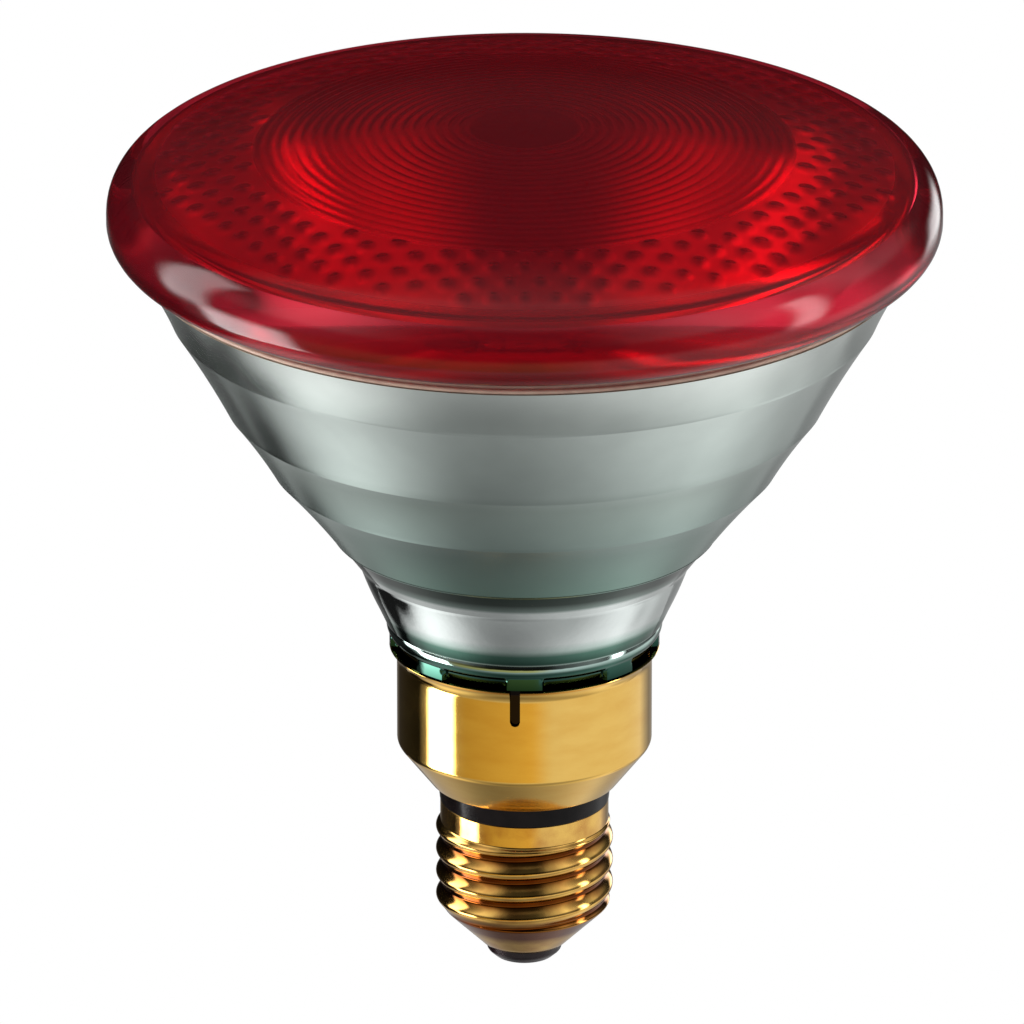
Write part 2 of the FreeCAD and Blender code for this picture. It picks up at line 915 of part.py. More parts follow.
def make_filament():
    body = keep(new_body("filament"))
    section = new_sketch(body, "wire_section", "XZ_Plane")
    draw_circle(section, (-coil_length / 2, coil_radius), wire_radius)
    doc.recompute()
    coil = body.newObject("PartDesign::AdditiveHelix", "coil")
    coil.Profile = section
    coil.ReferenceAxis = (section, ["H_Axis"])
    coil.Mode = "pitch-turns-angle"
    bind(coil, "Pitch", size("coil_pitch"))
    bind(coil, "Turns", size("coil_turns"))
    doc.recompute()
    leg = size("ferrule_offset") - size("post_radius") - coil_length / 2 + leg_radius
    for side, sign in (("left", -1), ("right", 1)):
        end = new_sketch(body, side + "_leg_section", "YZ_Plane")
        bind(end, "AttachmentOffset.Base.z", (coil_length / 2 - leg_radius) * sign)
        draw_circle(end, (ZERO, coil_radius), leg_radius)
        doc.recompute()
        pad = body.newObject("PartDesign::Pad", side + "_leg")
        pad.Profile = end
        pad.Reversed = sign < 0
        bind(pad, "Length", leg)
        doc.recompute()
    bind(body, "Placement.Base.z", focus_height)
    return body


def make_clamps():
    """Short tubes that pinch the filament's legs to the posts."""
    post_face = size("ferrule_offset") - size("post_radius")
    for side, sign in (("left", -1), ("right", 1)):
        body = keep(new_body("filament_clamp_" + side))
        section = new_sketch(body, "tube_section", "YZ_Plane")
        bind(section, "AttachmentOffset.Base.z", post_face * sign)
        draw_circle(section, (ZERO, coil_radius), size("clamp_radius"))
        draw_circle(section, (ZERO, coil_radius), leg_radius)
        doc.recompute()
        pad = body.newObject("PartDesign::Pad", "tube")
        pad.Profile = section
        pad.Reversed = sign > 0
        bind(pad, "Length", size("clamp_length"))
        bind(body, "Placement.Base.z", focus_height)


bridge_height = focus_height - size("bridge_below_focus")


def make_bridge():
    """Glass rod that ties the posts together and carries the hooks."""
    half = size("ferrule_offset") + size("bridge_overhang")
    body = keep(new_body("support_bridge"))
    section = new_sketch(body, "rod_section", "YZ_Plane")
    draw_circle(section, (ZERO, ZERO), size("bridge_radius"))
    doc.recompute()
    rod = body.newObject("PartDesign::Pad", "rod")
    rod.Profile = section
    rod.Midplane = True
    bind(rod, "Length", half * 2)
    doc.recompute()
    holes = new_sketch(body, "post_holes", "XY_Plane")
    for sign in (-1, 1):
        draw_circle(holes, (size("ferrule_offset") * sign, ZERO), size("post_radius"))
        draw_circle(holes, (size("hook_offset") * sign, ZERO), size("hook_stem_radius"))
    doc.recompute()
    pocket = body.newObject("PartDesign::Pocket", "post_hole")
    pocket.Profile = holes
    pocket.Type = "ThroughAll"
    pocket.Midplane = True
    bind(body, "Placement.Base.z", bridge_height)
    return body


def make_hooks():
    """Molybdenum hooks: a stem out of the bridge and an open loop around the coil."""
    loop = coil_radius + wire_radius + size("hook_clearance") + size("hook_wire_radius")
    wire = size("hook_wire_radius")
    for side, sign in (("left", -1), ("right", 1)):
        body = keep(new_body("support_hook_" + side))
        ring = new_sketch(body, "loop_section", "XY_Plane")
        draw_circle(ring, (ZERO, loop), wire)
        doc.recompute()
        turn = body.newObject("PartDesign::Revolution", "loop")
        turn.Profile = ring
        turn.ReferenceAxis = (ring, ["H_Axis"])
        turn.Angle = 360
        doc.recompute()
        stem = new_sketch(body, "stem_section", "XY_Plane")
        draw_circle(stem, (ZERO, ZERO), size("hook_stem_radius"))
        bind(stem, "AttachmentOffset.Base.z", -size("bridge_below_focus"))
        doc.recompute()
        pad = body.newObject("PartDesign::Pad", "stem")
        pad.Profile = stem
        bind(pad, "Length", size("bridge_below_focus") - loop)
        doc.recompute()
        bind(body, "Placement.Base.x", size("hook_offset") * sign)
        bind(body, "Placement.Base.z", focus_height)


# Leads in the neck and cap, and the weld of the shell's lead

def bent_wire(points, radius, bend):
    """A round wire along straight runs that tangent arcs join."""
    points = [FreeCAD.Vector(*point) for point in points]
    edges = []
    last = points[0]
    for before, corner, after in zip(points, points[1:], points[2:]):
        inward = (before - corner).normalize()
        outward = (after - corner).normalize()
        half_angle = inward.getAngle(outward) / 2
        cut = bend / math.tan(half_angle)
        middle = corner + (inward + outward).normalize() * (bend / math.sin(half_angle) - bend)
        start = corner + inward * cut
        end = corner + outward * cut
        edges.append(Part.LineSegment(last, start).toShape())
        edges.append(Part.Arc(start, middle, end).toShape())
        last = end
    edges.append(Part.LineSegment(last, points[-1]).toShape())
    path = Part.Wire(edges)
    direction = (points[1] - points[0]).normalize()
    section = Part.Wire([Part.makeCircle(radius, points[0], direction)])
    return path.makePipeShell([section], True, False)


def make_leads():
    radius = size("lead_radius").value
    offset = size("ferrule_offset").value
    lead_top = cup_low.value
    weld_height = size("weld_height")
    weld_radius = size("weld_radius")
    collar_inner = size("shell_collar_radius") - shell_wall
    weld_outer = (collar_inner.power(2) - weld_radius.power(2)).root()
    weld_face = weld_outer.value - weld_height.value
    spigot_foot = shell_top - size("ring_spigot_height")
    weld_middle = spigot_foot - size("weld_clearance") - weld_radius
    turn_height = weld_middle.value
    knee = (ring_top + size("lead_knee_height")).value
    straight = (ring_top + size("lead_straight_height")).value
    lane = size("shell_lead_lane").value

    shell_lead = doc.addObject("Part::Feature", "shell_wire")
    shell_lead.Label = "shell_wire"
    shell_lead.Shape = bent_wire([
        (offset, 0, lead_top),
        (offset, 0, knee),
        (lane, 0, straight),
        (lane, 0, turn_height),
        (weld_face, 0, turn_height),
    ], radius, size("shell_lead_bend").value)
    keep(shell_lead)

    contact_lead = doc.addObject("Part::Feature", "contact_wire")
    contact_lead.Label = "contact_wire"
    contact_lead.Shape = bent_wire([
        (-offset, 0, lead_top),
        (-offset, 0, knee),
        (0, 0, straight),
        (0, 0, contact_high.value),
    ], radius, size("contact_lead_bend").value)
    keep(contact_lead)

    weld = keep(new_body("shell_weld"))
    section = new_sketch(weld, "nugget_section", "YZ_Plane")
    bind(section, "AttachmentOffset.Base.z", weld_outer - weld_height)
    draw_circle(section, (ZERO, weld_middle), weld_radius)
    doc.recompute()
    pad = weld.newObject("PartDesign::Pad", "nugget")
    pad.Profile = section
    bind(pad, "Length", weld_height)


make_contact()
make_solder()
make_base_insulator()
make_screw_shell()
make_insulating_ring()
make_skirt()
make_reflector()
make_rim_seal()
make_lens()
make_pair("ferrule", build_ferrule)
make_pair("lead_post", build_post)
make_pair("post_braze", build_braze)
make_exhaust_tube()
make_filament()
make_clamps()
make_bridge()
make_hooks()
make_leads()
doc.recompute()

for item in doc.Objects:
    if "Invalid" in item.State or "Error" in item.State:
        raise RuntimeError("%s (%s) could not be built: %s" % (item.Name, item.Label, item.State))
for part in PARTS:
    if part.Shape.isNull() or not part.Shape.isValid():
        raise RuntimeError("%s has no valid shape" % part.Label)
    if len(part.Shape.Solids) != 1:
        raise RuntimeError("%s has %d solids" % (part.Label, len(part.Shape.Solids)))

os.makedirs("parts", exist_ok=True)
for part in PARTS:
    part.Shape.exportStep("parts/%s.step" % part.Label)
    box = part.Shape.BoundBox
    print("%-22s %10.1f mm3  z %.2f to %.2f" % (part.Label, part.Shape.Volume, box.ZMin, box.ZMax))
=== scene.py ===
import math

import bmesh
import bpy
import numpy as np
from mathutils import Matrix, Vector
from mathutils.geometry import delaunay_2d_cdt


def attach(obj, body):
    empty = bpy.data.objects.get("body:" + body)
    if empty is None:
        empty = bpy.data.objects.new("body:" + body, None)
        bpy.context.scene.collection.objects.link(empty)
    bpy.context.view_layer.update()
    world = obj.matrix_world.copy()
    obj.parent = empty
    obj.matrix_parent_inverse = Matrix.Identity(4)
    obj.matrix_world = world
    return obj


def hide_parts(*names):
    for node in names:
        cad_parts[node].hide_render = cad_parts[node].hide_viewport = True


# The heat lamp's finish, its camera and its studio. Profiles are in millimetres of radius
# and height above the contact, as in the part's source, and are made in metres.

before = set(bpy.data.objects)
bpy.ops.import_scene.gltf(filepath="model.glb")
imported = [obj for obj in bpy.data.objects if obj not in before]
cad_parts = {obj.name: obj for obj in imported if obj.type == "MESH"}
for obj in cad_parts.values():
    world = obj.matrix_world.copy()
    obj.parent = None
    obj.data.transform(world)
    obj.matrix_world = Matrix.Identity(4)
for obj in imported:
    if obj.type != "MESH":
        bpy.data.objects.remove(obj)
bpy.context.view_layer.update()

MM = 0.001
scene = bpy.context.scene
scene.view_settings.view_transform = "Standard"

# Camera

IMAGE_SIDE = 1024
SENSOR = 36.0
CAMERA_DISTANCE = 2.4
CAMERA_ELEVATION = math.radians(22.0)
PIXELS_PER_RADIAN = 16343.0
AXIS_PIXEL = 524.5
TARGET_HEIGHT = 0.071
CLIP_END = 20.0


def make_camera():
    """Long lens that looks down at the lamp from the photograph's side."""
    data = bpy.data.cameras.new("camera")
    data.sensor_width = SENSOR
    data.lens = PIXELS_PER_RADIAN * SENSOR / IMAGE_SIDE
    data.clip_end = CLIP_END
    camera = bpy.data.objects.new("camera", data)
    scene.collection.objects.link(camera)
    scale = PIXELS_PER_RADIAN / CAMERA_DISTANCE
    side = (IMAGE_SIDE / 2 - AXIS_PIXEL) / scale
    target = Vector((side, 0.0, TARGET_HEIGHT))
    away = Vector((0.0, -math.cos(CAMERA_ELEVATION), math.sin(CAMERA_ELEVATION)))
    camera.location = target + away * CAMERA_DISTANCE
    camera.rotation_euler = (-away).to_track_quat("-Z", "Y").to_euler()
    scene.camera = camera


make_camera()


# Materials, with the two values that noise mostly lies between

NOISE_LOW = 0.3
NOISE_HIGH = 0.7


def new_material(name):
    """A node material with its tree and its shader."""
    material = bpy.data.materials.new(name)
    material.use_nodes = True
    tree = material.node_tree
    return material, tree, tree.nodes["Principled BSDF"]


def noise(tree, vector, scale, detail, stretch=(1.0, 1.0, 1.0)):
    """Noise over the object's own coordinates."""
    mapping = tree.nodes.new("ShaderNodeMapping")
    mapping.inputs["Scale"].default_value = stretch
    tree.links.new(vector, mapping.inputs["Vector"])
    node = tree.nodes.new("ShaderNodeTexNoise")
    node.inputs["Scale"].default_value = scale
    node.inputs["Detail"].default_value = detail
    tree.links.new(mapping.outputs["Vector"], node.inputs["Vector"])
    return node.outputs["Fac"]


def ramp(tree, value, stops):
    """Colour ramp over stops of place and colour."""
    node = tree.nodes.new("ShaderNodeValToRGB")
    elements = node.color_ramp.elements
    while len(elements) < len(stops):
        elements.new(0.5)
    for element, (place, colour) in zip(elements, stops):
        element.position = place
        element.color = (*colour, 1.0)
    tree.links.new(value, node.inputs["Fac"])
    return node.outputs["Color"]


def spread(tree, value, low, high, start=NOISE_LOW, end=NOISE_HIGH):
    """Map a value from its own range, that of noise by default, to another."""
    node = tree.nodes.new("ShaderNodeMapRange")
    node.inputs["From Min"].default_value = start
    node.inputs["From Max"].default_value = end
    node.inputs["To Min"].default_value = low
    node.inputs["To Max"].default_value = high
    tree.links.new(value, node.inputs["Value"])
    return node.outputs["Result"]


def times(tree, first, second):
    """The product of two colours."""
    node = tree.nodes.new("ShaderNodeMix")
    node.data_type = "RGBA"
    node.blend_type = "MULTIPLY"
    node.inputs["Factor"].default_value = 1.0
    sockets = [socket for socket in node.inputs if socket.type == "RGBA"]
    tree.links.new(first, sockets[0])
    tree.links.new(second, sockets[1])
    return next(socket for socket in node.outputs if socket.type == "RGBA")


# Colours of painted shade, which high relief multiplies the lens's and the thread's colour by,
# and settings of the noise

WHITE = (1.0, 1.0, 1.0)
LENS_SHADE_COLOUR = (0.10, 0.10, 0.10)
VALLEY_SHADE_COLOUR = (0.26, 0.11, 0.05)
FROST_ROUGHNESS = 0.28
CLOUD_DETAIL = 5.0
CLOUD_SHADE = [(NOISE_LOW, (0.9, 0.9, 0.9)), (NOISE_HIGH, WHITE)]
MOTTLE_LOW = 0.35
MOTTLE_HIGH = 0.7
PATCH_DETAIL = 3.0
PATCH_SCALE = 0.4
GRAIN_DETAIL = 4.0


def finish(name, colour, worn, roughness, swing, metallic=0.0, scale=260.0, grain=2600.0,
           bump=0.1, depth=0.00002, stretch=(1.0, 1.0, 1.0), transmission=0.0, ior=1.5,
           heights=None, painted_shade=None, frosted=False):
    """Surface with a mottled colour, a varied roughness and a fine grain in relief.

    The colour follows the height where heights are given, in ramps that hold painted shade and
    painted reflections. Where a colour of painted shade is given, it multiplies the colour where
    the mesh's value relief is high. The surface is rougher where its value frost is high.
    """
    material, tree, shader = new_material(name)
    shader.inputs["Base Color"].default_value = (*colour, 1.0)
    shader.inputs["Metallic"].default_value = metallic
    shader.inputs["Roughness"].default_value = roughness
    shader.inputs["IOR"].default_value = ior
    shader.inputs["Transmission Weight"].default_value = transmission
    coordinates = tree.nodes.new("ShaderNodeTexCoord").outputs["Object"]
    cloud = noise(tree, coordinates, scale, CLOUD_DETAIL, stretch)
    if heights:
        axes = tree.nodes.new("ShaderNodeSeparateXYZ")
        tree.links.new(coordinates, axes.inputs["Vector"])
        low, high, stops = heights
        level = spread(tree, axes.outputs["Z"], 0.0, 1.0, low * MM, high * MM)
        first = ramp(tree, level, stops)
        shade = ramp(tree, cloud, CLOUD_SHADE)
        tree.links.new(times(tree, first, shade), shader.inputs["Base Color"])
    else:
        mottle = ramp(tree, cloud, [(MOTTLE_LOW, colour), (MOTTLE_HIGH, worn)])
        # Painted shade: where the mesh's value relief is high, the mottled colour is darkened
        if painted_shade:
            shade_map = tree.nodes.new("ShaderNodeAttribute")
            shade_map.attribute_name = "relief"
            shade = ramp(tree, shade_map.outputs["Fac"], [(0.0, WHITE), (1.0, painted_shade)])
            mottle = times(tree, mottle, shade)
        tree.links.new(mottle, shader.inputs["Base Color"])
    patches = noise(tree, coordinates, scale * PATCH_SCALE, PATCH_DETAIL, stretch)
    uneven = spread(tree, patches, max(roughness - swing, 0.0), roughness + swing)
    if frosted:
        frost = tree.nodes.new("ShaderNodeAttribute")
        frost.attribute_name = "frost"
        rougher = tree.nodes.new("ShaderNodeMath")
        rougher.operation = "MULTIPLY_ADD"
        rougher.inputs[1].default_value = FROST_ROUGHNESS
        tree.links.new(frost.outputs["Fac"], rougher.inputs[0])
        tree.links.new(uneven, rougher.inputs[2])
        uneven = rougher.outputs["Value"]
    tree.links.new(uneven, shader.inputs["Roughness"])
    relief = tree.nodes.new("ShaderNodeBump")
    relief.inputs["Strength"].default_value = bump
    relief.inputs["Distance"].default_value = depth
    grains = noise(tree, coordinates, grain, GRAIN_DETAIL, stretch)
    tree.links.new(grains, relief.inputs["Height"])
    tree.links.new(relief.outputs["Normal"], shader.inputs["Normal"])
    return material


# Colours of the bowl and the neck, from the low end of their heights to the high end: the
# glass's green tint with painted shade and painted reflections

# The bowl is darker towards its foot and lighter band by band upwards: painted shade over the
# glass's green tint
BOWL_HEIGHTS = (66.0, 112.0)
BOWL_GREEN_AND_SHADE = [
    (0.0, (0.19, 0.32, 0.265)),
    (0.24, (0.25, 0.35, 0.31)),
    (0.30, (0.32, 0.41, 0.375)),
    (0.48, (0.38, 0.46, 0.42)),
    (0.55, (0.50, 0.58, 0.545)),
    (0.8, (0.58, 0.65, 0.615)),
    (1.0, (0.76, 0.82, 0.78)),
]
# The neck's ramp paints shade round the lugs and under the bead, a highlight along the bead's
# top, and dark reflections in the throat and over the foot's step
NECK_HEIGHTS = (50.0, 69.0)
NECK_GREEN_AND_PAINTED_LIGHT = [
    (0.0, (0.020, 0.013, 0.010)),
    (0.03, (0.012, 0.042, 0.030)),
    (0.18, (0.05, 0.13, 0.10)),
    (0.216, (0.45, 0.60, 0.55)),
    (0.253, (0.55, 0.68, 0.63)),
    (0.274, (0.04, 0.10, 0.075)),
    (0.35, (0.10, 0.22, 0.17)),
    (0.40, (0.55, 0.68, 0.63)),
    (0.47, (0.82, 0.88, 0.86)),
    (0.79, (0.82, 0.88, 0.86)),
    (0.82, (0.25, 0.32, 0.29)),
    (0.89, (0.05, 0.07, 0.06)),
    (1.0, (0.03, 0.05, 0.04)),
]

ALONG_TURNS = (1.0, 1.0, 3.0)
ALONG_WIRES = (1.0, 1.0, 0.1)

red_glass = finish("red_glass", (0.93, 0.032, 0.070), (0.88, 0.028, 0.060), roughness=0.07,
                   swing=0.03, scale=60.0, grain=160.0, bump=0.06, depth=0.0002,
                   transmission=0.92, ior=1.36, painted_shade=LENS_SHADE_COLOUR, frosted=True)
bowl_satin = finish("bowl_satin", (0.60, 0.68, 0.64), (0.55, 0.62, 0.58), roughness=0.19,
                    swing=0.04, metallic=1.0, scale=90.0, grain=5200.0, bump=0.25,
                    depth=0.00002, heights=(*BOWL_HEIGHTS, BOWL_GREEN_AND_SHADE))
neck_gloss = finish("neck_gloss", (0.80, 0.85, 0.82), (0.7, 0.75, 0.72), roughness=0.05,
                    swing=0.03, metallic=1.0, scale=120.0, grain=140.0, bump=0.25,
                    depth=0.0003, heights=(*NECK_HEIGHTS, NECK_GREEN_AND_PAINTED_LIGHT))
mirror = finish("mirror", (0.80, 0.80, 0.80), (0.72, 0.73, 0.73), roughness=0.16, swing=0.06,
                metallic=1.0, scale=90.0, grain=900.0, bump=0.15, depth=0.00004)
brass = finish("brass", (0.86, 0.55, 0.14), (0.80, 0.48, 0.11), roughness=0.07, swing=0.03,
               metallic=1.0, scale=150.0, grain=1800.0, bump=0.08, depth=0.00003,
               stretch=ALONG_TURNS)
thread_brass = finish("thread_brass", (0.84, 0.52, 0.13), (0.60, 0.31, 0.08), roughness=0.10,
                      swing=0.05, metallic=1.0, scale=320.0, grain=1500.0, bump=0.16,
                      depth=0.00004, painted_shade=VALLEY_SHADE_COLOUR)
seal_paste = finish("seal_paste", (0.62, 0.44, 0.34), (0.50, 0.32, 0.25), roughness=0.5,
                    swing=0.1, scale=400.0, grain=2200.0, bump=0.3, depth=0.00008)
black_plastic = finish("black_plastic", (0.004, 0.003, 0.003), (0.010, 0.007, 0.007),
                       roughness=0.12, swing=0.05, scale=300.0, grain=2600.0, bump=0.1,
                       depth=0.00003, ior=1.22)
black_vitrite = finish("black_vitrite", (0.008, 0.004, 0.005), (0.020, 0.010, 0.012),
                       roughness=0.14, swing=0.06, scale=380.0, grain=1400.0, bump=0.25,
                       depth=0.00006, ior=1.4)
# The contact plate's near-black colour is a painted dark reflection, standing in for the dark
# that the contact reflects
contact_plate = finish("contact_plate", (0.10, 0.07, 0.055), (0.20, 0.13, 0.09),
                       roughness=0.32, swing=0.1, metallic=1.0, scale=500.0, grain=2500.0,
                       bump=0.25, depth=0.00004)
solder_grey = finish("solder_grey", (0.16, 0.15, 0.15), (0.26, 0.25, 0.25), roughness=0.35,
                     swing=0.12, metallic=1.0, scale=700.0, grain=1800.0, bump=0.3,
                     depth=0.00006)
drawn_steel = finish("drawn_steel", (0.50, 0.49, 0.47), (0.36, 0.34, 0.32), roughness=0.26,
                     swing=0.08, metallic=1.0, scale=500.0, grain=3000.0, bump=0.15,
                     stretch=ALONG_WIRES)
nickel = finish("nickel", (0.62, 0.58, 0.52), (0.50, 0.46, 0.42), roughness=0.22, swing=0.08,
                metallic=1.0, scale=500.0, grain=3000.0, bump=0.15, stretch=ALONG_WIRES)
braze_alloy = finish("braze_alloy", (0.72, 0.56, 0.34), (0.56, 0.40, 0.22), roughness=0.3,
                     swing=0.1, metallic=1.0, scale=700.0, grain=2200.0, bump=0.3)
clear_glass = finish("clear_glass", (0.95, 0.97, 0.96), (0.90, 0.94, 0.93), roughness=0.04,
                     swing=0.02, scale=200.0, grain=600.0, bump=0.06, transmission=1.0)
tungsten = finish("tungsten", (0.20, 0.20, 0.21), (0.30, 0.29, 0.29), roughness=0.38,
                  swing=0.1, metallic=1.0, scale=900.0, grain=4000.0, bump=0.2)
copper = finish("copper", (0.72, 0.36, 0.20), (0.52, 0.25, 0.15), roughness=0.25, swing=0.08,
                metallic=1.0, scale=500.0, grain=3000.0, bump=0.15)


# Mesh tools

SHARP = math.radians(38.0)
WELD_GAP = 0.000001
POLE_RADIUS = 0.000001
FILLET_STEP = math.radians(9.0)
RUN_LEAST = 0.4
RUN_LONGEST = 4.0
RUN_NEAR = 0.03


def bearing(offset):
    return math.atan2(offset[1], offset[0])


def wrapped(angle):
    """The same angle, between minus and plus half a turn."""
    return (angle + math.pi) % (2 * math.pi) - math.pi


def smooth(value):
    """Nought to one with soft ends."""
    value = np.clip(value, 0.0, 1.0)
    return value * value * (3 - 2 * value)


def window(value, low, high, soft):
    """One inside a range, nought outside, with soft edges."""
    return smooth((value - low) / soft + 0.5) * smooth((high - value) / soft + 0.5)


def rounded(corners, closed=True):
    """Profile points from corners of radius, height and, where it is round, a fillet."""
    points = []
    count = len(corners)
    for index, corner in enumerate(corners):
        here = np.array(corner[:2], float)
        fillet = corner[2] if len(corner) > 2 else 0.0
        if fillet == 0.0:
            points.append(here)
            continue
        before = np.array(corners[(index - 1) % count][:2], float)
        after = np.array(corners[(index + 1) % count][:2], float)
        back = (before - here) / np.linalg.norm(before - here)
        ahead = (after - here) / np.linalg.norm(after - here)
        half = math.acos(float(np.clip(back @ ahead, -1.0, 1.0))) / 2
        centre = here + (back + ahead) / np.linalg.norm(back + ahead) * fillet / math.sin(half)
        start = here + back * fillet / math.tan(half)
        end = here + ahead * fillet / math.tan(half)
        first = bearing(start - centre)
        sweep = wrapped(bearing(end - centre) - first)
        steps = max(3, int(abs(sweep) / FILLET_STEP))
        for step in range(steps + 1):
            angle = first + sweep * step / steps
            points.append(centre + fillet * np.array((math.cos(angle), math.sin(angle))))
    return crisp(points, closed)


def crisp(points, closed):
    """Add points near the ends of long runs, so that smooth shading stays in the bends."""
    result = []
    count = len(points)
    for index in range(count if closed else count - 1):
        start = points[index]
        end = points[(index + 1) % count]
        result.append(start)
        length = float(np.linalg.norm(end - start))
        if length > RUN_LEAST:
            way = (end - start) / length
            parts = int(math.ceil(length / RUN_LONGEST))
            result.append(start + way * RUN_NEAR)
            result.extend(start + (end - start) * part / parts for part in range(1, parts))
            result.append(end - way * RUN_NEAR)
    if not closed:
        result.append(points[-1])
    return result


def arc_points(start, end, radius, left, steps):
    """Points of an arc between two corners, without its start.

    The centre lies to the left of the way from the start to the end, or to its right.
    """
    start = np.array(start, float)
    end = np.array(end, float)
    chord = end - start
    length = float(np.linalg.norm(chord))
    across = np.array((-chord[1], chord[0])) / length
    rise = math.sqrt(max(radius**2 - length**2 / 4, 0.0)) * (1.0 if left else -1.0)
    centre = (start + end) / 2 + across * rise
    first = bearing(start - centre)
    sweep = wrapped(bearing(end - centre) - first)
    angles = [first + sweep * step / steps for step in range(1, steps + 1)]
    return [centre + radius * np.array((math.cos(a), math.sin(a))) for a in angles]


def turn_rings(points, angles):
    """Rings of vertices for a profile that is the same all round."""
    profile = np.array(points)
    radius = profile[:, 0:1]
    height = np.repeat(profile[:, 1:2], len(angles), axis=1)
    return np.stack((radius * np.cos(angles), radius * np.sin(angles), height), axis=2)


def even_angles(count):
    return np.arange(count) * (2 * math.pi / count)


def weld(mesh):
    """Join the vertices that share a place, and drop those that no face uses."""
    work = bmesh.new()
    work.from_mesh(mesh)
    bmesh.ops.remove_doubles(work, verts=work.verts, dist=WELD_GAP)
    unused = [vertex for vertex in work.verts if not vertex.link_faces]
    bmesh.ops.delete(work, geom=unused, context="VERTS")
    work.to_mesh(mesh)
    work.free()


def build(name, rings, closed, materials, slot_of=None, skip=None, extra=(), loose=(),
          values=()):
    """One mesh piece from rings of vertices.

    slot_of gives the material's number for a row. skip marks the quads to leave out, by row
    and column. extra holds more faces on the rings' vertices, and loose holds parts with
    vertices of their own, each with a material's number. Each of the values is a name and a
    number for every vertex of the rings.
    """
    rows, columns = rings.shape[:2]
    vertices = rings.reshape(-1, 3).tolist()
    faces = []
    numbers = []
    for row in range(rows if closed else rows - 1):
        below = row * columns
        above = ((row + 1) % rows) * columns
        pole_below = abs(rings[row, :, :2]).max() < POLE_RADIUS
        pole_above = abs(rings[(row + 1) % rows, :, :2]).max() < POLE_RADIUS
        if pole_below and pole_above:
            continue
        for column in range(columns):
            if skip is not None and skip[row, column]:
                continue
            after = (column + 1) % columns
            face = (below + column, below + after, above + after, above + column)
            if pole_below:
                face = (below, above + after, above + column)
            elif pole_above:
                face = (below + column, below + after, above)
            faces.append(face)
            numbers.append(slot_of(row) if slot_of else 0)
    faces += [face for face, _ in extra]
    numbers += [slot for _, slot in extra]
    for points, triangles, slot in loose:
        offset = len(vertices)
        vertices.extend(points)
        faces.extend(tuple(corner + offset for corner in face) for face in triangles)
        numbers.extend([slot] * len(triangles))
    mesh = bpy.data.meshes.new(name)
    scaled = [(x * MM, y * MM, z * MM) for x, y, z in vertices]
    mesh.from_pydata(scaled, [], faces)
    for material in materials:
        mesh.materials.append(material)
    mesh.polygons.foreach_set("material_index", numbers)
    for label, levels in values:
        layer = mesh.attributes.new(label, "FLOAT", "POINT")
        layer.data.foreach_set("value", levels.ravel())
    weld(mesh)
    mesh.validate()
    mesh.shade_smooth()
    mesh.set_sharp_from_angle(angle=SHARP)
    piece = bpy.data.objects.new(name, mesh)
    scene.collection.objects.link(piece)
    return piece


def dress(piece, node):
    """Put a piece in the place of a node of the CAD."""
    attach(piece, "root")
    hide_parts(node)


def turned(name, points, material, node, segments=192):
    """A piece that is the same all round, in the place of a node."""
    rings = turn_rings(points, even_angles(segments))
    dress(build(name, rings, True, [material]), node)


# Heights from the contact up, worked out from each other as in the part's source. The lens's
# top is a hair under the CAD's own, which is cut into facets.

CONTACT_LOW = 0.25
CONTACT_HIGH = CONTACT_LOW + 0.4
WAIST_HEIGHT = CONTACT_HIGH + 1.0
MOUTH = CONTACT_HIGH + 2.35
INSULATOR_TOP = MOUTH + 3.6
ROOT_LOW = MOUTH + 5.8
SHELL_TOP = ROOT_LOW + 17.0
COLLAR_LOW = SHELL_TOP - 3.6
RING_TOP = SHELL_TOP + 3.2
SKIRT_CORNER = RING_TOP + 6.3
FLARE_LOW = SKIRT_CORNER + 12.9
FLARE_HEIGHT = 2.2
SKIRT_RIM = FLARE_LOW + FLARE_HEIGHT
TAIL_LOW = SKIRT_RIM - 10.0
TAIL_HIGH = SKIRT_RIM - 1.0
LUG_LOW = SKIRT_RIM + 0.3
LUG_HIGH = LUG_LOW + 3.0
NECK_SEAT = SKIRT_RIM + 1.9
BEAD_TOP = NECK_SEAT + 2.5
NECK_LOW = BEAD_TOP + 2.4
NECK_TOP = NECK_LOW + 6.8
FLOOR_TOP = NECK_TOP + 2.0
FLOOR_LOW = FLOOR_TOP - 4.5
FILAMENT_HEIGHT = FLOOR_TOP + 6.84
FOOT_TOP = NECK_TOP + 4.6
BAND_TOPS = FOOT_TOP + np.cumsum((11.1, 10.0, 13.7, 8.2))
BOWL_TOP = float(BAND_TOPS[-1])
LENS_LOW = BOWL_TOP + 0.7
LENS_TOP = 132.4987

# Radii and walls, in the same order

CONTACT_HOLE = 1.1
CONTACT_RADIUS = 3.3
CONTACT_EDGE = 0.12
SOLDER_FOOT = 1.5
SOLDER_RADIUS = 2.3
SOLDER_EDGE = 0.5
INSULATOR_BORE = 1.3
INSULATOR_TIP = 4.4
INSULATOR_WAIST = 5.5
INSULATOR_MOUTH = 5.66
INSULATOR_RADIUS = 9.2
TIP_EDGE = 0.35
WAIST_EDGE = 0.8
SHELL_WALL = 0.45
MOUTH_RADIUS = 6.3
ROOT = 12.15
CREST = 13.1
COLLAR = 12.45
SKIRT_WALL = 0.45
SKIRT = 18.8
SKIRT_FOOT = 13.9
SKIRT_HOLE = SKIRT_FOOT - 2.6
SPIGOT_GAP = 0.1
SPIGOT_HEIGHT = 1.4
RING_BORE = 7.5
RING_FOOT = 12.5
RING_RADIUS = 12.85
RING_EDGE = 0.2
TAIL = SKIRT - SKIRT_WALL - 0.15
TAIL_INNER = TAIL - 2.6
SEAT = SKIRT + 0.7
BEAD = SEAT + 0.7
THROAT = BEAD + 1.4
NECK = THROAT + 2.8
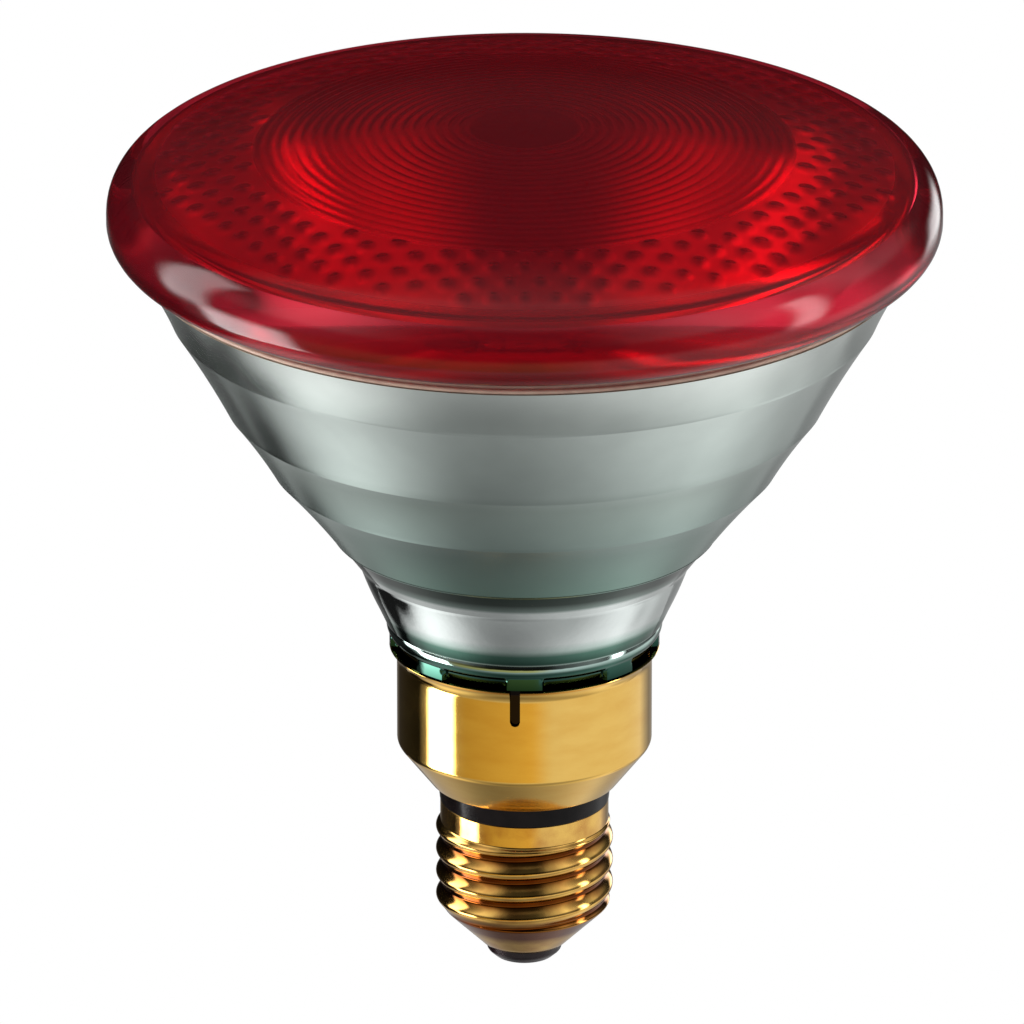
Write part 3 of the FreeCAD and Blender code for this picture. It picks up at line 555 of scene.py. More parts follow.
FOOT_WALL = 5.94
BAND_WALLS = (4.24, 3.62, 3.24, 3.2)
MIRROR_RIM = 53.0
SEAL_RADIUS = 56.05
SEAL_EDGE = 0.3

# The mirror is a paraboloid through its rim, with the filament in its focus

MIRROR_DEPTH = BOWL_TOP - FILAMENT_HEIGHT
MIRROR_FOCUS = (math.hypot(MIRROR_DEPTH, MIRROR_RIM) - MIRROR_DEPTH) / 2
MIRROR_VERTEX = FILAMENT_HEIGHT - MIRROR_FOCUS


def mirror_radius(height):
    return math.sqrt(4 * MIRROR_FOCUS * (height - MIRROR_VERTEX))


# Contact, solder, base insulator and insulating ring

SMALL_SEGMENTS = 96

turned("contact_disc", rounded([
    (CONTACT_HOLE, CONTACT_LOW),
    (CONTACT_RADIUS, CONTACT_LOW, CONTACT_EDGE),
    (CONTACT_RADIUS, CONTACT_HIGH),
    (CONTACT_HOLE, CONTACT_HIGH),
]), contact_plate, "centre_contact", SMALL_SEGMENTS)
turned("solder_drop", rounded([
    (0.0, 0.0),
    (SOLDER_FOOT, 0.0, SOLDER_EDGE),
    (SOLDER_RADIUS, CONTACT_LOW),
    (CONTACT_HOLE, CONTACT_LOW),
    (CONTACT_HOLE, CONTACT_HIGH),
    (0.0, CONTACT_HIGH),
]), solder_grey, "contact_solder", SMALL_SEGMENTS)
turned("base_glass", rounded([
    (INSULATOR_BORE, CONTACT_HIGH),
    (INSULATOR_TIP, CONTACT_HIGH, TIP_EDGE),
    (INSULATOR_WAIST, WAIST_HEIGHT, WAIST_EDGE),
    (INSULATOR_MOUTH, MOUTH),
    (INSULATOR_RADIUS, INSULATOR_TOP),
    (INSULATOR_BORE, INSULATOR_TOP),
]), black_vitrite, "base_insulator")
turned("black_ring", rounded([
    (RING_BORE, SHELL_TOP - SPIGOT_HEIGHT),
    (COLLAR - SHELL_WALL - SPIGOT_GAP, SHELL_TOP - SPIGOT_HEIGHT),
    (COLLAR - SHELL_WALL - SPIGOT_GAP, SHELL_TOP),
    (RING_FOOT, SHELL_TOP, RING_EDGE),
    (RING_RADIUS, RING_TOP, RING_EDGE),
    (SKIRT_HOLE - SPIGOT_GAP, RING_TOP),
    (SKIRT_HOLE - SPIGOT_GAP, RING_TOP + SPIGOT_HEIGHT),
    (RING_BORE, RING_TOP + SPIGOT_HEIGHT),
]), black_plastic, "insulating_ring")


# Screw shell, whose rounded thread runs out into the cone and the collar

PITCH = 3.629
THREAD_START = ROOT_LOW - 3.9
THREAD_FULLNESS = 0.85
CONE_SLOPE = (ROOT - MOUTH_RADIUS) / (ROOT_LOW - MOUTH)
CONE_BLEND = 0.35
COLLAR_BLEND = 0.25
COLLAR_RISE = 0.3
COLLAR_FROM = ROOT_LOW + 1.0
SHELL_SEGMENTS = 288
SHELL_EDGE = 0.06
EDGE_NEAR = 0.05
CONE_STEP = 0.8
THREAD_ROWS = (7.8, 23.2, 0.11)
COLLAR_ROWS = (23.6, 24.4)
# Painted shade in the thread's valleys: the heights it spans, its soft ends, and the reach below
# which it begins
VALLEY_SHADE_FROM = ROOT_LOW - 2.6
VALLEY_SHADE_TO = COLLAR_LOW - 0.2
VALLEY_SHADE_SOFTNESS = 1.2
VALLEY_SHADE_REACH = CREST - 0.15


def soft_least(first, second, blend):
    """The lesser of two values, with the change between them rounded off."""
    mix = np.clip(0.5 + 0.5 * (second - first) / blend, 0.0, 1.0)
    return second * (1 - mix) + first * mix - blend * mix * (1 - mix)


def shell_radius(height, angle):
    """Outer radius of the screw shell at a height and a turn."""
    lead = height - THREAD_START - PITCH * angle / (2 * math.pi)
    away = (lead + PITCH / 2) % PITCH - PITCH / 2
    wave = 0.5 + 0.5 * np.cos(2 * math.pi * away / PITCH)
    thread = ROOT + (CREST - ROOT) * wave**THREAD_FULLNESS
    cone = ROOT + (height - ROOT_LOW) * CONE_SLOPE
    runout = COLLAR + (COLLAR_LOW + COLLAR_RISE - height)
    body = soft_least(thread, cone, CONE_BLEND)
    body = soft_least(body, np.maximum(runout, COLLAR), COLLAR_BLEND)
    rise = np.clip((height - COLLAR_LOW) / COLLAR_RISE, 0.0, 1.0)
    collar = ROOT + (COLLAR - ROOT) * rise
    return np.where(height > COLLAR_FROM, np.maximum(body, collar), body)


def ring_stack(rings, angles):
    """Rings of vertices from pairs of radius and height, each one number or one per angle."""
    rings = [np.broadcast_arrays(radius, height, angles) for radius, height in rings]
    return np.array([np.stack((radius * np.cos(turn), radius * np.sin(turn), height), axis=1)
                     for radius, height, turn in rings])


def make_shell():
    angles = even_angles(SHELL_SEGMENTS)
    heights = [MOUTH, MOUTH + EDGE_NEAR]
    heights += list(np.arange(MOUTH + CONE_STEP, THREAD_ROWS[0], CONE_STEP))
    heights += list(np.arange(*THREAD_ROWS))
    heights += [*COLLAR_ROWS, SHELL_TOP - EDGE_NEAR, SHELL_TOP]
    rings = []
    for height in heights:
        edge = SHELL_EDGE if height in (MOUTH, SHELL_TOP) else 0.0
        rings.append((shell_radius(np.full_like(angles, height), angles) - edge, height))
    bore = ROOT - SHELL_WALL
    shift = SHELL_WALL * math.sqrt(CONE_SLOPE**2 + 1)
    rings += [
        (COLLAR - SHELL_WALL, SHELL_TOP),
        (COLLAR - SHELL_WALL, COLLAR_LOW + COLLAR_RISE),
        (bore, COLLAR_LOW),
        (bore, MOUTH + (bore - MOUTH_RADIUS + shift) / CONE_SLOPE),
        (MOUTH_RADIUS - shift, MOUTH),
    ]
    stack = ring_stack(rings, angles)
    # Painted shade, darker towards the thread's roots from the cone to below the collar, given
    # to the material as the value relief
    reach = np.hypot(stack[..., 0], stack[..., 1])
    valley_shade = np.clip((VALLEY_SHADE_REACH - reach) / (VALLEY_SHADE_REACH - ROOT), 0.0, 1.0)
    valley_shade = valley_shade * window(stack[..., 2], VALLEY_SHADE_FROM, VALLEY_SHADE_TO, VALLEY_SHADE_SOFTNESS)
    piece = build("thread_shell", stack, True, [thread_brass], values=[("relief", valley_shade)])
    dress(piece, "screw_shell")


make_shell()


# Skirt, with slots in its flared rim

SKIRT_SEGMENTS = 240
SKIRT_MIDDLE = 42.0
SLOT_HALF = 0.75
SLOT_DEPTH = 5.8
SLOT_TURNS = (-4.3, 115.7, 235.7)
SLOT_CLEAR = 1.5
SLOT_COLUMNS = 9
BARREL_SHARES = (0.5, 0.97)
SLOT_SHARES = (0.0, 0.01, 0.3, 0.5, 0.57, 0.62, 0.68, 0.74, 0.8, 0.86, 0.91, 0.95, 0.98, 1.0)
LIP_EDGE = ((0.0, 0.09), (0.03, 0.03), (0.12, 0.0), (0.37, 0.0))
FLARE_WIDTH = 1.1
FLARE_SWEEP = (FLARE_HEIGHT**2 + FLARE_WIDTH**2) / (2 * FLARE_WIDTH)
FOOT_BEND = (0.5, 0.3)
CORNER_BEND = (1.3, 1.0)


def skirt_radius(height):
    """Outer radius of the barrel and the flare at a height."""
    rise = np.clip(height - FLARE_LOW, 0.0, None)
    return SKIRT + FLARE_SWEEP - np.sqrt(FLARE_SWEEP**2 - rise**2)


def make_skirt():
    centres = np.radians(np.array(SLOT_TURNS) - 90.0)
    half = SLOT_HALF / SKIRT

    def from_slot(turns):
        """How far turns are from the middle of the nearest slot."""
        return abs(wrapped(turns[:, None] - centres)).min(axis=1)

    angles = even_angles(SKIRT_SEGMENTS)
    angles = angles[from_slot(angles) > half * SLOT_CLEAR]
    slots = centres[:, None] + half * np.linspace(-1, 1, SLOT_COLUMNS)
    angles = np.sort(np.concatenate((angles, slots.ravel() % (2 * math.pi))))
    count = len(angles)
    across = np.clip(from_slot(angles) / half, 0.0, 1.0) * SLOT_HALF
    slot_centre = SKIRT_RIM - SLOT_DEPTH + SLOT_HALF
    low = slot_centre - np.sqrt(np.clip(SLOT_HALF**2 - across**2, 0.0, None))
    middles = angles + ((np.roll(angles, -1) - angles) % (2 * math.pi)) / 2
    in_slot = from_slot(middles) < half

    inside = SKIRT - SKIRT_WALL
    outer = [(SKIRT, SKIRT_MIDDLE + (low - SKIRT_MIDDLE) * share) for share in BARREL_SHARES]
    inner = [(inside, height) for _, height in outer]
    for share in SLOT_SHARES:
        height = low + (SKIRT_RIM - low) * share
        outer.append((skirt_radius(height), height))
        inner.append((skirt_radius(height) - SKIRT_WALL, height))
    rings = rounded([
        (SKIRT_HOLE, RING_TOP),
        (SKIRT_FOOT, RING_TOP, FOOT_BEND[0]),
        (SKIRT, SKIRT_CORNER, CORNER_BEND[0]),
        (SKIRT, SKIRT_MIDDLE),
    ], closed=False)
    first_slot_row = len(rings) + len(BARREL_SHARES)
    rings += outer
    last_slot_row = len(rings) - 1
    lip_radius, lip_height = rings.pop()
    rings += [(lip_radius - inward, lip_height - down) for inward, down in LIP_EDGE]
    top_row = len(rings)
    rings += inner[::-1]
    inner_row = len(rings) - 1 - len(BARREL_SHARES)
    rings += rounded([
        (inside, SKIRT_MIDDLE),
        (inside, SKIRT_CORNER, CORNER_BEND[1]),
        (SKIRT_FOOT - SKIRT_WALL, RING_TOP + SKIRT_WALL, FOOT_BEND[1]),
        (SKIRT_HOLE, RING_TOP + SKIRT_WALL),
    ], closed=False)
    stack = ring_stack(rings, angles)

    # The sheet's cut faces round each slot: along its floor, up its two sides and at the lip
    skip = np.zeros((len(stack), count), bool)
    skip[first_slot_row:inner_row, :] = in_slot
    extra = []
    for column in range(count):
        if in_slot[column]:
            after = (column + 1) % count
            outside = first_slot_row * count
            within = inner_row * count
            face = (outside + column, outside + after, within + after, within + column)
            extra.append((face, 0))
        starts = in_slot[column] and not in_slot[column - 1]
        ends = in_slot[column - 1] and not in_slot[column]
        if starts or ends:
            for step in range(len(SLOT_SHARES) - 1):
                a = (first_slot_row + step) * count + column
                b = (first_slot_row + step + 1) * count + column
                c = (inner_row - step - 1) * count + column
                d = (inner_row - step) * count + column
                extra.append(((a, d, c, b) if starts else (a, b, c, d), 0))
            lip = tuple(row * count + column for row in range(last_slot_row, top_row + 1))
            extra.append((lip[::-1] if starts else lip, 0))
    piece = build("skirt_sheet", stack, True, [brass], skip=skip, extra=extra)
    dress(piece, "skirt")


make_skirt()


# Reflector: neck with its bead and lugs, banded bowl and mirror

BOWL_SLOT, NECK_SLOT, MIRROR_SLOT = range(3)
BOWL_SEGMENTS = 384
LUG_COUNT = 8
LUG_HALF = 2.9
LUG_TOP_HALF = 2.5
LUG_RADIUS = SKIRT + FLARE_WIDTH
LUG_EDGE = 0.22
LUG_FADE = 0.35
SHOULDER_START = 0.2
SHOULDER_STEP = 0.12
TAIL_MIDDLE = 45.0
BEAD_ROUND = 2.2
LEDGE = (BEAD + 0.35, BEAD_TOP + 0.05, 0.25)
NECK_CURVE = 53.0
FOOT_STEP = 0.35
FOOT_LEAN = 0.3
FOOT_ROUND = 0.5
BAND_HOLLOW = 0.22
BAND_STEPS = 14
BAND_START = 0.9
BAND_END = 0.04
MIRROR_ROWS = 48
FERRULES = ((9.5, 0.0), (-9.5, 0.0))
FERRULE_HOLE = 3.0
FERRULE_RADIUS = 4.0
FERRULE_BITE = 2.0
FERRULE_SEGMENTS = 48
EXHAUST = (0.0, 0.0)
EXHAUST_BORE = 1.9
EXHAUST_SEGMENTS = 32
HOLE_MARGIN = 1.001
CLOSE = 0.000001


def circle(centre, radius, count):
    """Points all round a circle."""
    turns = [2 * math.pi * step / count for step in range(count)]
    return [(centre[0] + radius * math.cos(turn), centre[1] + radius * math.sin(turn))
            for turn in turns]


def disc_with_holes(radius, height, holes, up):
    """A flat round plate with round holes, as loose triangles."""
    points = []
    edges = []
    for centre, size, count in [(EXHAUST, radius, BOWL_SEGMENTS)] + holes:
        offset = len(points)
        points += [Vector(point) for point in circle(centre, size, count)]
        edges += [(offset + step, offset + (step + 1) % count) for step in range(count)]
    places, _, triangles, _, _, _ = delaunay_2d_cdt(points, edges, [], 1, CLOSE)
    kept = []
    for triangle in triangles:
        corners = [places[corner] for corner in triangle]
        in_hole = any(all((corner - Vector(centre)).length < size * HOLE_MARGIN
                          for corner in corners) for centre, size, _ in holes)
        if not in_hole:
            first, second, third = corners
            turn = (second - first).cross(third - first)
            kept.append(tuple(triangle) if (turn > 0) == up else tuple(triangle)[::-1])
    return [(place.x, place.y, height) for place in places], kept, MIRROR_SLOT


def hole_wall(centre, steps, count, slot=MIRROR_SLOT):
    """The inside of a stepped round hole, from its low end up."""
    points = []
    for radius, height in steps:
        points += [(x, y, height) for x, y in circle(centre, radius, count)]
    faces = []
    for row in range(len(steps) - 1):
        for step in range(count):
            after = (step + 1) % count
            faces.append((row * count + after, row * count + step,
                          (row + 1) * count + step, (row + 1) * count + after))
    return points, faces, slot


def make_reflector():
    angles = even_angles(BOWL_SEGMENTS)
    outside = [(TAIL_INNER, TAIL_LOW)]
    outside += [(TAIL, height) for height in (TAIL_LOW, TAIL_LOW + EDGE_NEAR, TAIL_MIDDLE,
                                              TAIL_HIGH - EDGE_NEAR, TAIL_HIGH)]
    for height in np.arange(TAIL_HIGH + SHOULDER_START, NECK_SEAT - EDGE_NEAR, SHOULDER_STEP):
        share = (height - TAIL_HIGH) / (NECK_SEAT - TAIL_HIGH)
        outside.append((TAIL + (SEAT - TAIL) * share, height))
    outside.append((SEAT, NECK_SEAT))
    outside += arc_points((SEAT, NECK_SEAT), (BEAD, BEAD_TOP), BEAD_ROUND, True, 16)
    outside += rounded([outside[-1], LEDGE, (THROAT, NECK_LOW)], closed=False)[1:]
    neck_first = len(outside) - 1
    outside += arc_points((THROAT, NECK_LOW), (NECK, NECK_TOP), NECK_CURVE, True, 12)
    foot = (mirror_radius(FOOT_TOP) + FOOT_WALL, FOOT_TOP)
    outside += rounded([
        (NECK, NECK_TOP),
        (foot[0] - FOOT_STEP, FOOT_TOP, FOOT_ROUND),
        (foot[0] + FOOT_LEAN, FOOT_TOP + FOOT_STEP),
    ], closed=False)[1:]
    bowl_first = len(outside) - 2
    start = foot
    for top, wall in zip(BAND_TOPS, BAND_WALLS):
        end = (mirror_radius(top) + wall, top)
        span = math.dist(start, end)
        radius = span**2 / (8 * BAND_HOLLOW) + BAND_HOLLOW / 2
        curve = arc_points(start, end, radius, False, BAND_STEPS)
        outside.append(curve[0] - (curve[1] - curve[0]) * BAND_START)
        outside += curve[:-1]
        outside.append(curve[-1] - (curve[-1] - curve[-2]) * BAND_END)
        outside.append(end)
        start = end
    rim_row = len(outside) - 1
    outside.append((MIRROR_RIM + EDGE_NEAR, BOWL_TOP))
    outside += [(mirror_radius(height), height)
                for height in np.linspace(BOWL_TOP, FLOOR_TOP, MIRROR_ROWS)]
    rings = turn_rings(outside, angles)

    # The lugs stand out of the shoulder and the bead
    from_lug = abs(wrapped((angles + math.pi / 2) * LUG_COUNT)) / LUG_COUNT * LUG_RADIUS
    for row, (radius, height) in enumerate(outside[:neck_first]):
        if LUG_LOW < height < LUG_HIGH + LUG_FADE:
            lift = (height - LUG_LOW) / (LUG_HIGH - LUG_LOW)
            half = LUG_HALF + (LUG_TOP_HALF - LUG_HALF) * lift
            width = smooth((half + LUG_EDGE - from_lug) / (2 * LUG_EDGE))
            fade = smooth((LUG_HIGH + LUG_FADE - height) / (2 * LUG_FADE))
            outer = radius + max(LUG_RADIUS - radius, 0.0) * width * fade
            rings[row, :, 0] = outer * np.cos(angles)
            rings[row, :, 1] = outer * np.sin(angles)

    # The bowl's floor, its holes and the inside of the neck
    exhaust = (EXHAUST, EXHAUST_BORE, EXHAUST_SEGMENTS)
    top_holes = [(place, FERRULE_HOLE, FERRULE_SEGMENTS) for place in FERRULES] + [exhaust]
    low_holes = [(place, FERRULE_RADIUS, FERRULE_SEGMENTS) for place in FERRULES] + [exhaust]
    bore = [(EXHAUST_BORE, FLOOR_LOW), (EXHAUST_BORE, FLOOR_TOP)]
    steps = [(FERRULE_RADIUS, FLOOR_LOW), (FERRULE_RADIUS, FLOOR_LOW + FERRULE_BITE),
             (FERRULE_HOLE, FLOOR_LOW + FERRULE_BITE), (FERRULE_HOLE, FLOOR_TOP)]
    tail = [(TAIL_INNER, TAIL_LOW), (TAIL_INNER, FLOOR_LOW)]
    loose = [
        disc_with_holes(mirror_radius(FLOOR_TOP), FLOOR_TOP, top_holes, True),
        disc_with_holes(TAIL_INNER, FLOOR_LOW, low_holes, False),
        hole_wall(EXHAUST, bore, EXHAUST_SEGMENTS),
        *(hole_wall(place, steps, FERRULE_SEGMENTS) for place in FERRULES),
        hole_wall(EXHAUST, tail, BOWL_SEGMENTS, NECK_SLOT),
    ]

    def slot_of(row):
        if row < bowl_first:
            return NECK_SLOT
        return BOWL_SLOT if row <= rim_row else MIRROR_SLOT

    piece = build("bowl_glass", rings, False, [bowl_satin, neck_gloss, mirror], slot_of,
                  loose=loose)
    dress(piece, "reflector")


make_reflector()

turned("rim_bead", rounded([
    (MIRROR_RIM, BOWL_TOP),
    (SEAL_RADIUS, BOWL_TOP, SEAL_EDGE),
    (SEAL_RADIUS, LENS_LOW, SEAL_EDGE),
    (MIRROR_RIM, LENS_LOW),
]), seal_paste, "rim_seal", 256)


# Lens: domed face outside, ribs and dimples inside

LENS_SEGMENTS = 600
LENS_RADIUS = 61.0
LENS_INNER = LENS_RADIUS - 4.8
LENS_LIP = 55.8
LIP_GAP = 0.4
LENS_EDGE = 0.3
HEEL = (LENS_RADIUS - 1.6, LENS_LOW + 2.0)
HEEL_ROUND = 4.0
SIDE_LOW = LENS_LOW + 4.8
SHOULDER = 7.0
DOME = 220.0
DOME_CENTRE = LENS_TOP - DOME
DOME_ROWS = (55.0, 52.0, 46.0, 38.0, 29.0, 20.0, 11.0, 5.0, 0.0)
PLATE = 3.2
EYE_ROWS = [0.0, 4.0, 7.6]
RIB_FIRST = 8.25
RIB_LAST = 39.1
RIB_COUNT = 19
RIB_PITCH = (RIB_LAST - RIB_FIRST) / RIB_COUNT
RIB_ROWS = 4
RIB_DEPTH = 0.1
FIELD_END = 54.7
FIELD_ROWS = 40
FIELD_EDGE = 55.4
DIMPLE_SPACING = 4.5
DIMPLE_ROWS = 3.75
DIMPLE_SHIFT = 1.45
DIMPLE_ACROSS = 1.8
DIMPLE_ALONG = 2.2
DIMPLE_DEPTH = 0.3
DIMPLE_NEAR = 39.6
DIMPLE_FAR = 52.7
# Painted shade on the lens: how far its side, its plate, its ribs and its central eye are
# darkened
SIDE_SHADE = 0.5
PLATE_SHADE = 0.08
RIB_SHADE = 0.42
EYE_SHADE = 0.75
RIB_FROST = 0.25
FROST_END = DIMPLE_FAR + 1.0
FROST_SOFT = 1.5


def dome_height(radius, plate):
    return DOME_CENTRE + np.sqrt((DOME - plate) ** 2 - radius**2)


def dimple_rise(x, y):
    """Depth of the dimples over the lens's inner face."""
    rise = np.zeros_like(x)
    row_low = np.floor((y - DIMPLE_SHIFT) / DIMPLE_ROWS)
    for row in (row_low, row_low + 1):
        shift = np.where(np.mod(row, 2) == 1, DIMPLE_SPACING / 2, 0.0)
        column_low = np.floor((x - shift) / DIMPLE_SPACING)
        for column in (column_low, column_low + 1):
            centre_x = column * DIMPLE_SPACING + shift
            centre_y = row * DIMPLE_ROWS + DIMPLE_SHIFT
            reach = np.hypot(centre_x, centre_y)
            inside = (reach >= DIMPLE_NEAR) & (reach <= DIMPLE_FAR)
            away = np.hypot((x - centre_x) / DIMPLE_ACROSS, (y - centre_y) / DIMPLE_ALONG)
            shape = np.clip(1 - away**2, 0.0, None) ** 2
            rise = np.maximum(rise, np.where(inside, shape * DIMPLE_DEPTH, 0.0))
    return rise


def make_lens():
    angles = even_angles(LENS_SEGMENTS)
    to_shoulder = DOME - SHOULDER
    shoulder = (LENS_RADIUS - SHOULDER,
                DOME_CENTRE + math.sqrt(to_shoulder**2 - (LENS_RADIUS - SHOULDER)**2))
    meeting = (shoulder[0] * DOME / to_shoulder,
               DOME_CENTRE + (shoulder[1] - DOME_CENTRE) * DOME / to_shoulder)
    profile = rounded([(MIRROR_RIM + LIP_GAP, LENS_LOW), (LENS_LIP, LENS_LOW, LENS_EDGE), HEEL],
                      closed=False)
    profile += arc_points(HEEL, (LENS_RADIUS, SIDE_LOW), HEEL_ROUND, True, 5)
    profile.append((LENS_RADIUS, shoulder[1]))
    profile += arc_points(profile[-1], meeting, SHOULDER, True, 11)
    profile += [(radius, dome_height(radius, 0.0)) for radius in DOME_ROWS]
    inner = EYE_ROWS + [RIB_FIRST + RIB_PITCH * step / RIB_ROWS
                        for step in range(RIB_COUNT * RIB_ROWS + 1)]
    inner += list(np.linspace(RIB_LAST, FIELD_END, FIELD_ROWS)[1:])
    inner += [FIELD_EDGE, LENS_INNER - LENS_EDGE]
    rings = list(turn_rings(profile, angles))
    # relief holds painted shade, darkening the lens's side, its central eye, its ribs and its
    # dimples
    relief = [np.full_like(angles, SIDE_SHADE if height < shoulder[1] else 0.0)
              for _, height in profile]
    for radius in inner:
        x = radius * np.cos(angles)
        y = radius * np.sin(angles)
        height = dome_height(radius, PLATE) + np.zeros_like(x)
        if RIB_FIRST <= radius <= RIB_LAST:
            phase = (radius - RIB_FIRST) / RIB_PITCH
            rise = 0.5 - 0.5 * math.cos(2 * math.pi * phase) + np.zeros_like(x)
            height = height + RIB_DEPTH * rise
            relief.append(rise * RIB_SHADE + PLATE_SHADE)
        elif radius > RIB_LAST:
            rise = dimple_rise(x, y)
            height = height + rise
            relief.append(rise / DIMPLE_DEPTH)
        else:
            relief.append(np.full_like(x, EYE_SHADE))
        rings.append(np.stack((x, y, height), axis=1))
    wall = rounded([
        (LENS_INNER, dome_height(LENS_INNER, PLATE) - LENS_EDGE),
        (MIRROR_RIM, LENS_LOW + LENS_EDGE),
    ], closed=False)
    rings = np.array(rings + list(turn_rings(wall, angles)))
    relief += [np.full_like(angles, SIDE_SHADE) for _ in wall]
    reach = np.hypot(rings[..., 0], rings[..., 1])
    under = np.arange(len(rings)) >= len(profile)
    frost = window(reach, RIB_LAST, FROST_END, FROST_SOFT)
    frost = frost + RIB_FROST * window(reach, RIB_FIRST, RIB_LAST, FROST_SOFT)
    piece = build("lens_glass", rings, True, [red_glass],
                  values=[("relief", np.array(relief)), ("frost", frost * under[:, None])])
    dress(piece, "lens")


make_lens()


# Finishes of the pieces that keep the CAD's own shape

KEPT = [
    (drawn_steel, ("ferrule_left", "ferrule_right")),
    (nickel, ("lead_post_left", "lead_post_right", "filament_clamp_left",
              "filament_clamp_right")),
    (braze_alloy, ("post_braze_left", "post_braze_right")),
    (clear_glass, ("exhaust_tube", "support_bridge")),
    (tungsten, ("filament", "support_hook_left", "support_hook_right")),
    (copper, ("shell_wire", "contact_wire")),
    (solder_grey, ("shell_weld",)),
]
for material, nodes in KEPT:
    for node in nodes:
        materials = bpy.data.objects[node].data.materials
        materials.clear()
        materials.append(material)


# Studio: a pale floor, a white world and two soft boxes, with a surround and a glow on the
# floor that only reflections and glass meet

FLOOR_HEIGHT = -0.35
FLOOR_RADIUS = 0.62
FLOOR_SHADE = (0.9, 0.9, 0.9)
FLOOR_ROUGHNESS = 0.9
WORLD_SHADE = (0.5, 0.5, 0.5)
FLOOR_GLOW_GAP = 0.004
SURROUND_RADIUS = 1.4
STUDIO_CENTRE = Vector((0.0, 0.0, 0.07))


def seen_white(tree, plain, strength):
    """White to the camera and in reflections, plain to the light that bounces."""
    path = tree.nodes.new("ShaderNodeLightPath")
    either = tree.nodes.new("ShaderNodeMath")
    either.operation = "MAXIMUM"
    tree.links.new(path.outputs["Is Glossy Ray"], either.inputs[0])
    tree.links.new(path.outputs["Is Transmission Ray"], either.inputs[1])
    seen = tree.nodes.new("ShaderNodeMath")
    seen.operation = "MAXIMUM"
    tree.links.new(path.outputs["Is Camera Ray"], seen.inputs[0])
    tree.links.new(either.outputs["Value"], seen.inputs[1])
    mix = tree.nodes.new("ShaderNodeMixShader")
    tree.links.new(seen.outputs["Value"], mix.inputs["Fac"])
    tree.links.new(plain, mix.inputs[1])
    tree.links.new(strength, mix.inputs[2])
    return mix.outputs["Shader"]


def make_floor():
    """The floor, clear from below, so that a view from there shows the lamp's base."""
    angles = even_angles(SMALL_SEGMENTS)
    rings = turn_rings([(0.0, 0.0), (FLOOR_RADIUS / MM, 0.0)], angles)[::-1]
    floor = build("floor", rings, False, [])
    floor.location.z = FLOOR_HEIGHT
    material, tree, shader = new_material("floor")
    shader.inputs["Base Color"].default_value = (*FLOOR_SHADE, 1.0)
    shader.inputs["Roughness"].default_value = FLOOR_ROUGHNESS
    glow = tree.nodes.new("ShaderNodeEmission")
    glow.inputs["Color"].default_value = (*WHITE, 1.0)
    surface = seen_white(tree, shader.outputs["BSDF"], glow.outputs["Emission"])
    side = tree.nodes.new("ShaderNodeNewGeometry")
    clear = tree.nodes.new("ShaderNodeBsdfTransparent")
    mix = tree.nodes.new("ShaderNodeMixShader")
    tree.links.new(side.outputs["Backfacing"], mix.inputs["Fac"])
    tree.links.new(surface, mix.inputs[1])
    tree.links.new(clear.outputs["BSDF"], mix.inputs[2])
    tree.links.new(mix.outputs["Shader"], tree.nodes["Material Output"].inputs["Surface"])
    floor.data.materials.append(material)


def make_world():
    world = bpy.data.worlds.new("world")
    scene.world = world
    world.use_nodes = True
    tree = world.node_tree
    plain = tree.nodes["Background"]
    plain.inputs["Color"].default_value = (*WORLD_SHADE, 1.0)
    white = tree.nodes.new("ShaderNodeBackground")
    white.inputs["Color"].default_value = (*WHITE, 1.0)
    surface = seen_white(tree, plain.outputs["Background"], white.outputs["Background"])
    tree.links.new(surface, tree.nodes["World Output"].inputs["Surface"])


def direction(azimuth, elevation):
    """Unit vector from the lamp; azimuth 0 is the camera's side, + to the camera's right."""
    turn = math.radians(azimuth)
    tilt = math.radians(elevation)
    return Vector((math.sin(turn) * math.cos(tilt), -math.cos(turn) * math.cos(tilt),
                   math.sin(tilt)))


def glow_card(name, places, glow):
    """A card, closed all round, with its own light, which only reflections and glass meet."""
    rows, columns = places.shape[:2]
    faces = []
    for row in range(rows - 1):
        for column in range(columns):
            after = (column + 1) % columns
            faces.append((row * columns + column, row * columns + after,
                          (row + 1) * columns + after, (row + 1) * columns + column))
    mesh = bpy.data.meshes.new(name)
    mesh.from_pydata(places.reshape(-1, 3).tolist(), [], faces)
    colours = np.ones((rows * columns, 4))
    colours[:, :3] = glow.reshape(-1, 3)
    layer = mesh.attributes.new("glow", "FLOAT_COLOR", "POINT")
    layer.data.foreach_set("color", colours.ravel())
    card = bpy.data.objects.new(name, mesh)
    scene.collection.objects.link(card)
    material, tree, _ = new_material(name)
    attribute = tree.nodes.new("ShaderNodeAttribute")
    attribute.attribute_name = "glow"
    emission = tree.nodes.new("ShaderNodeEmission")
    tree.links.new(attribute.outputs["Color"], emission.inputs["Color"])
    tree.links.new(emission.outputs["Emission"], tree.nodes["Material Output"].inputs["Surface"])
    mesh.materials.append(material)
    card.visible_camera = False
    card.visible_diffuse = False
    card.visible_shadow = False


# Levels of the surround, as azimuth in degrees and level: the low belt, which the brass and
# the lens's rim show, then the canopy over it, which the lens shows from its mirror

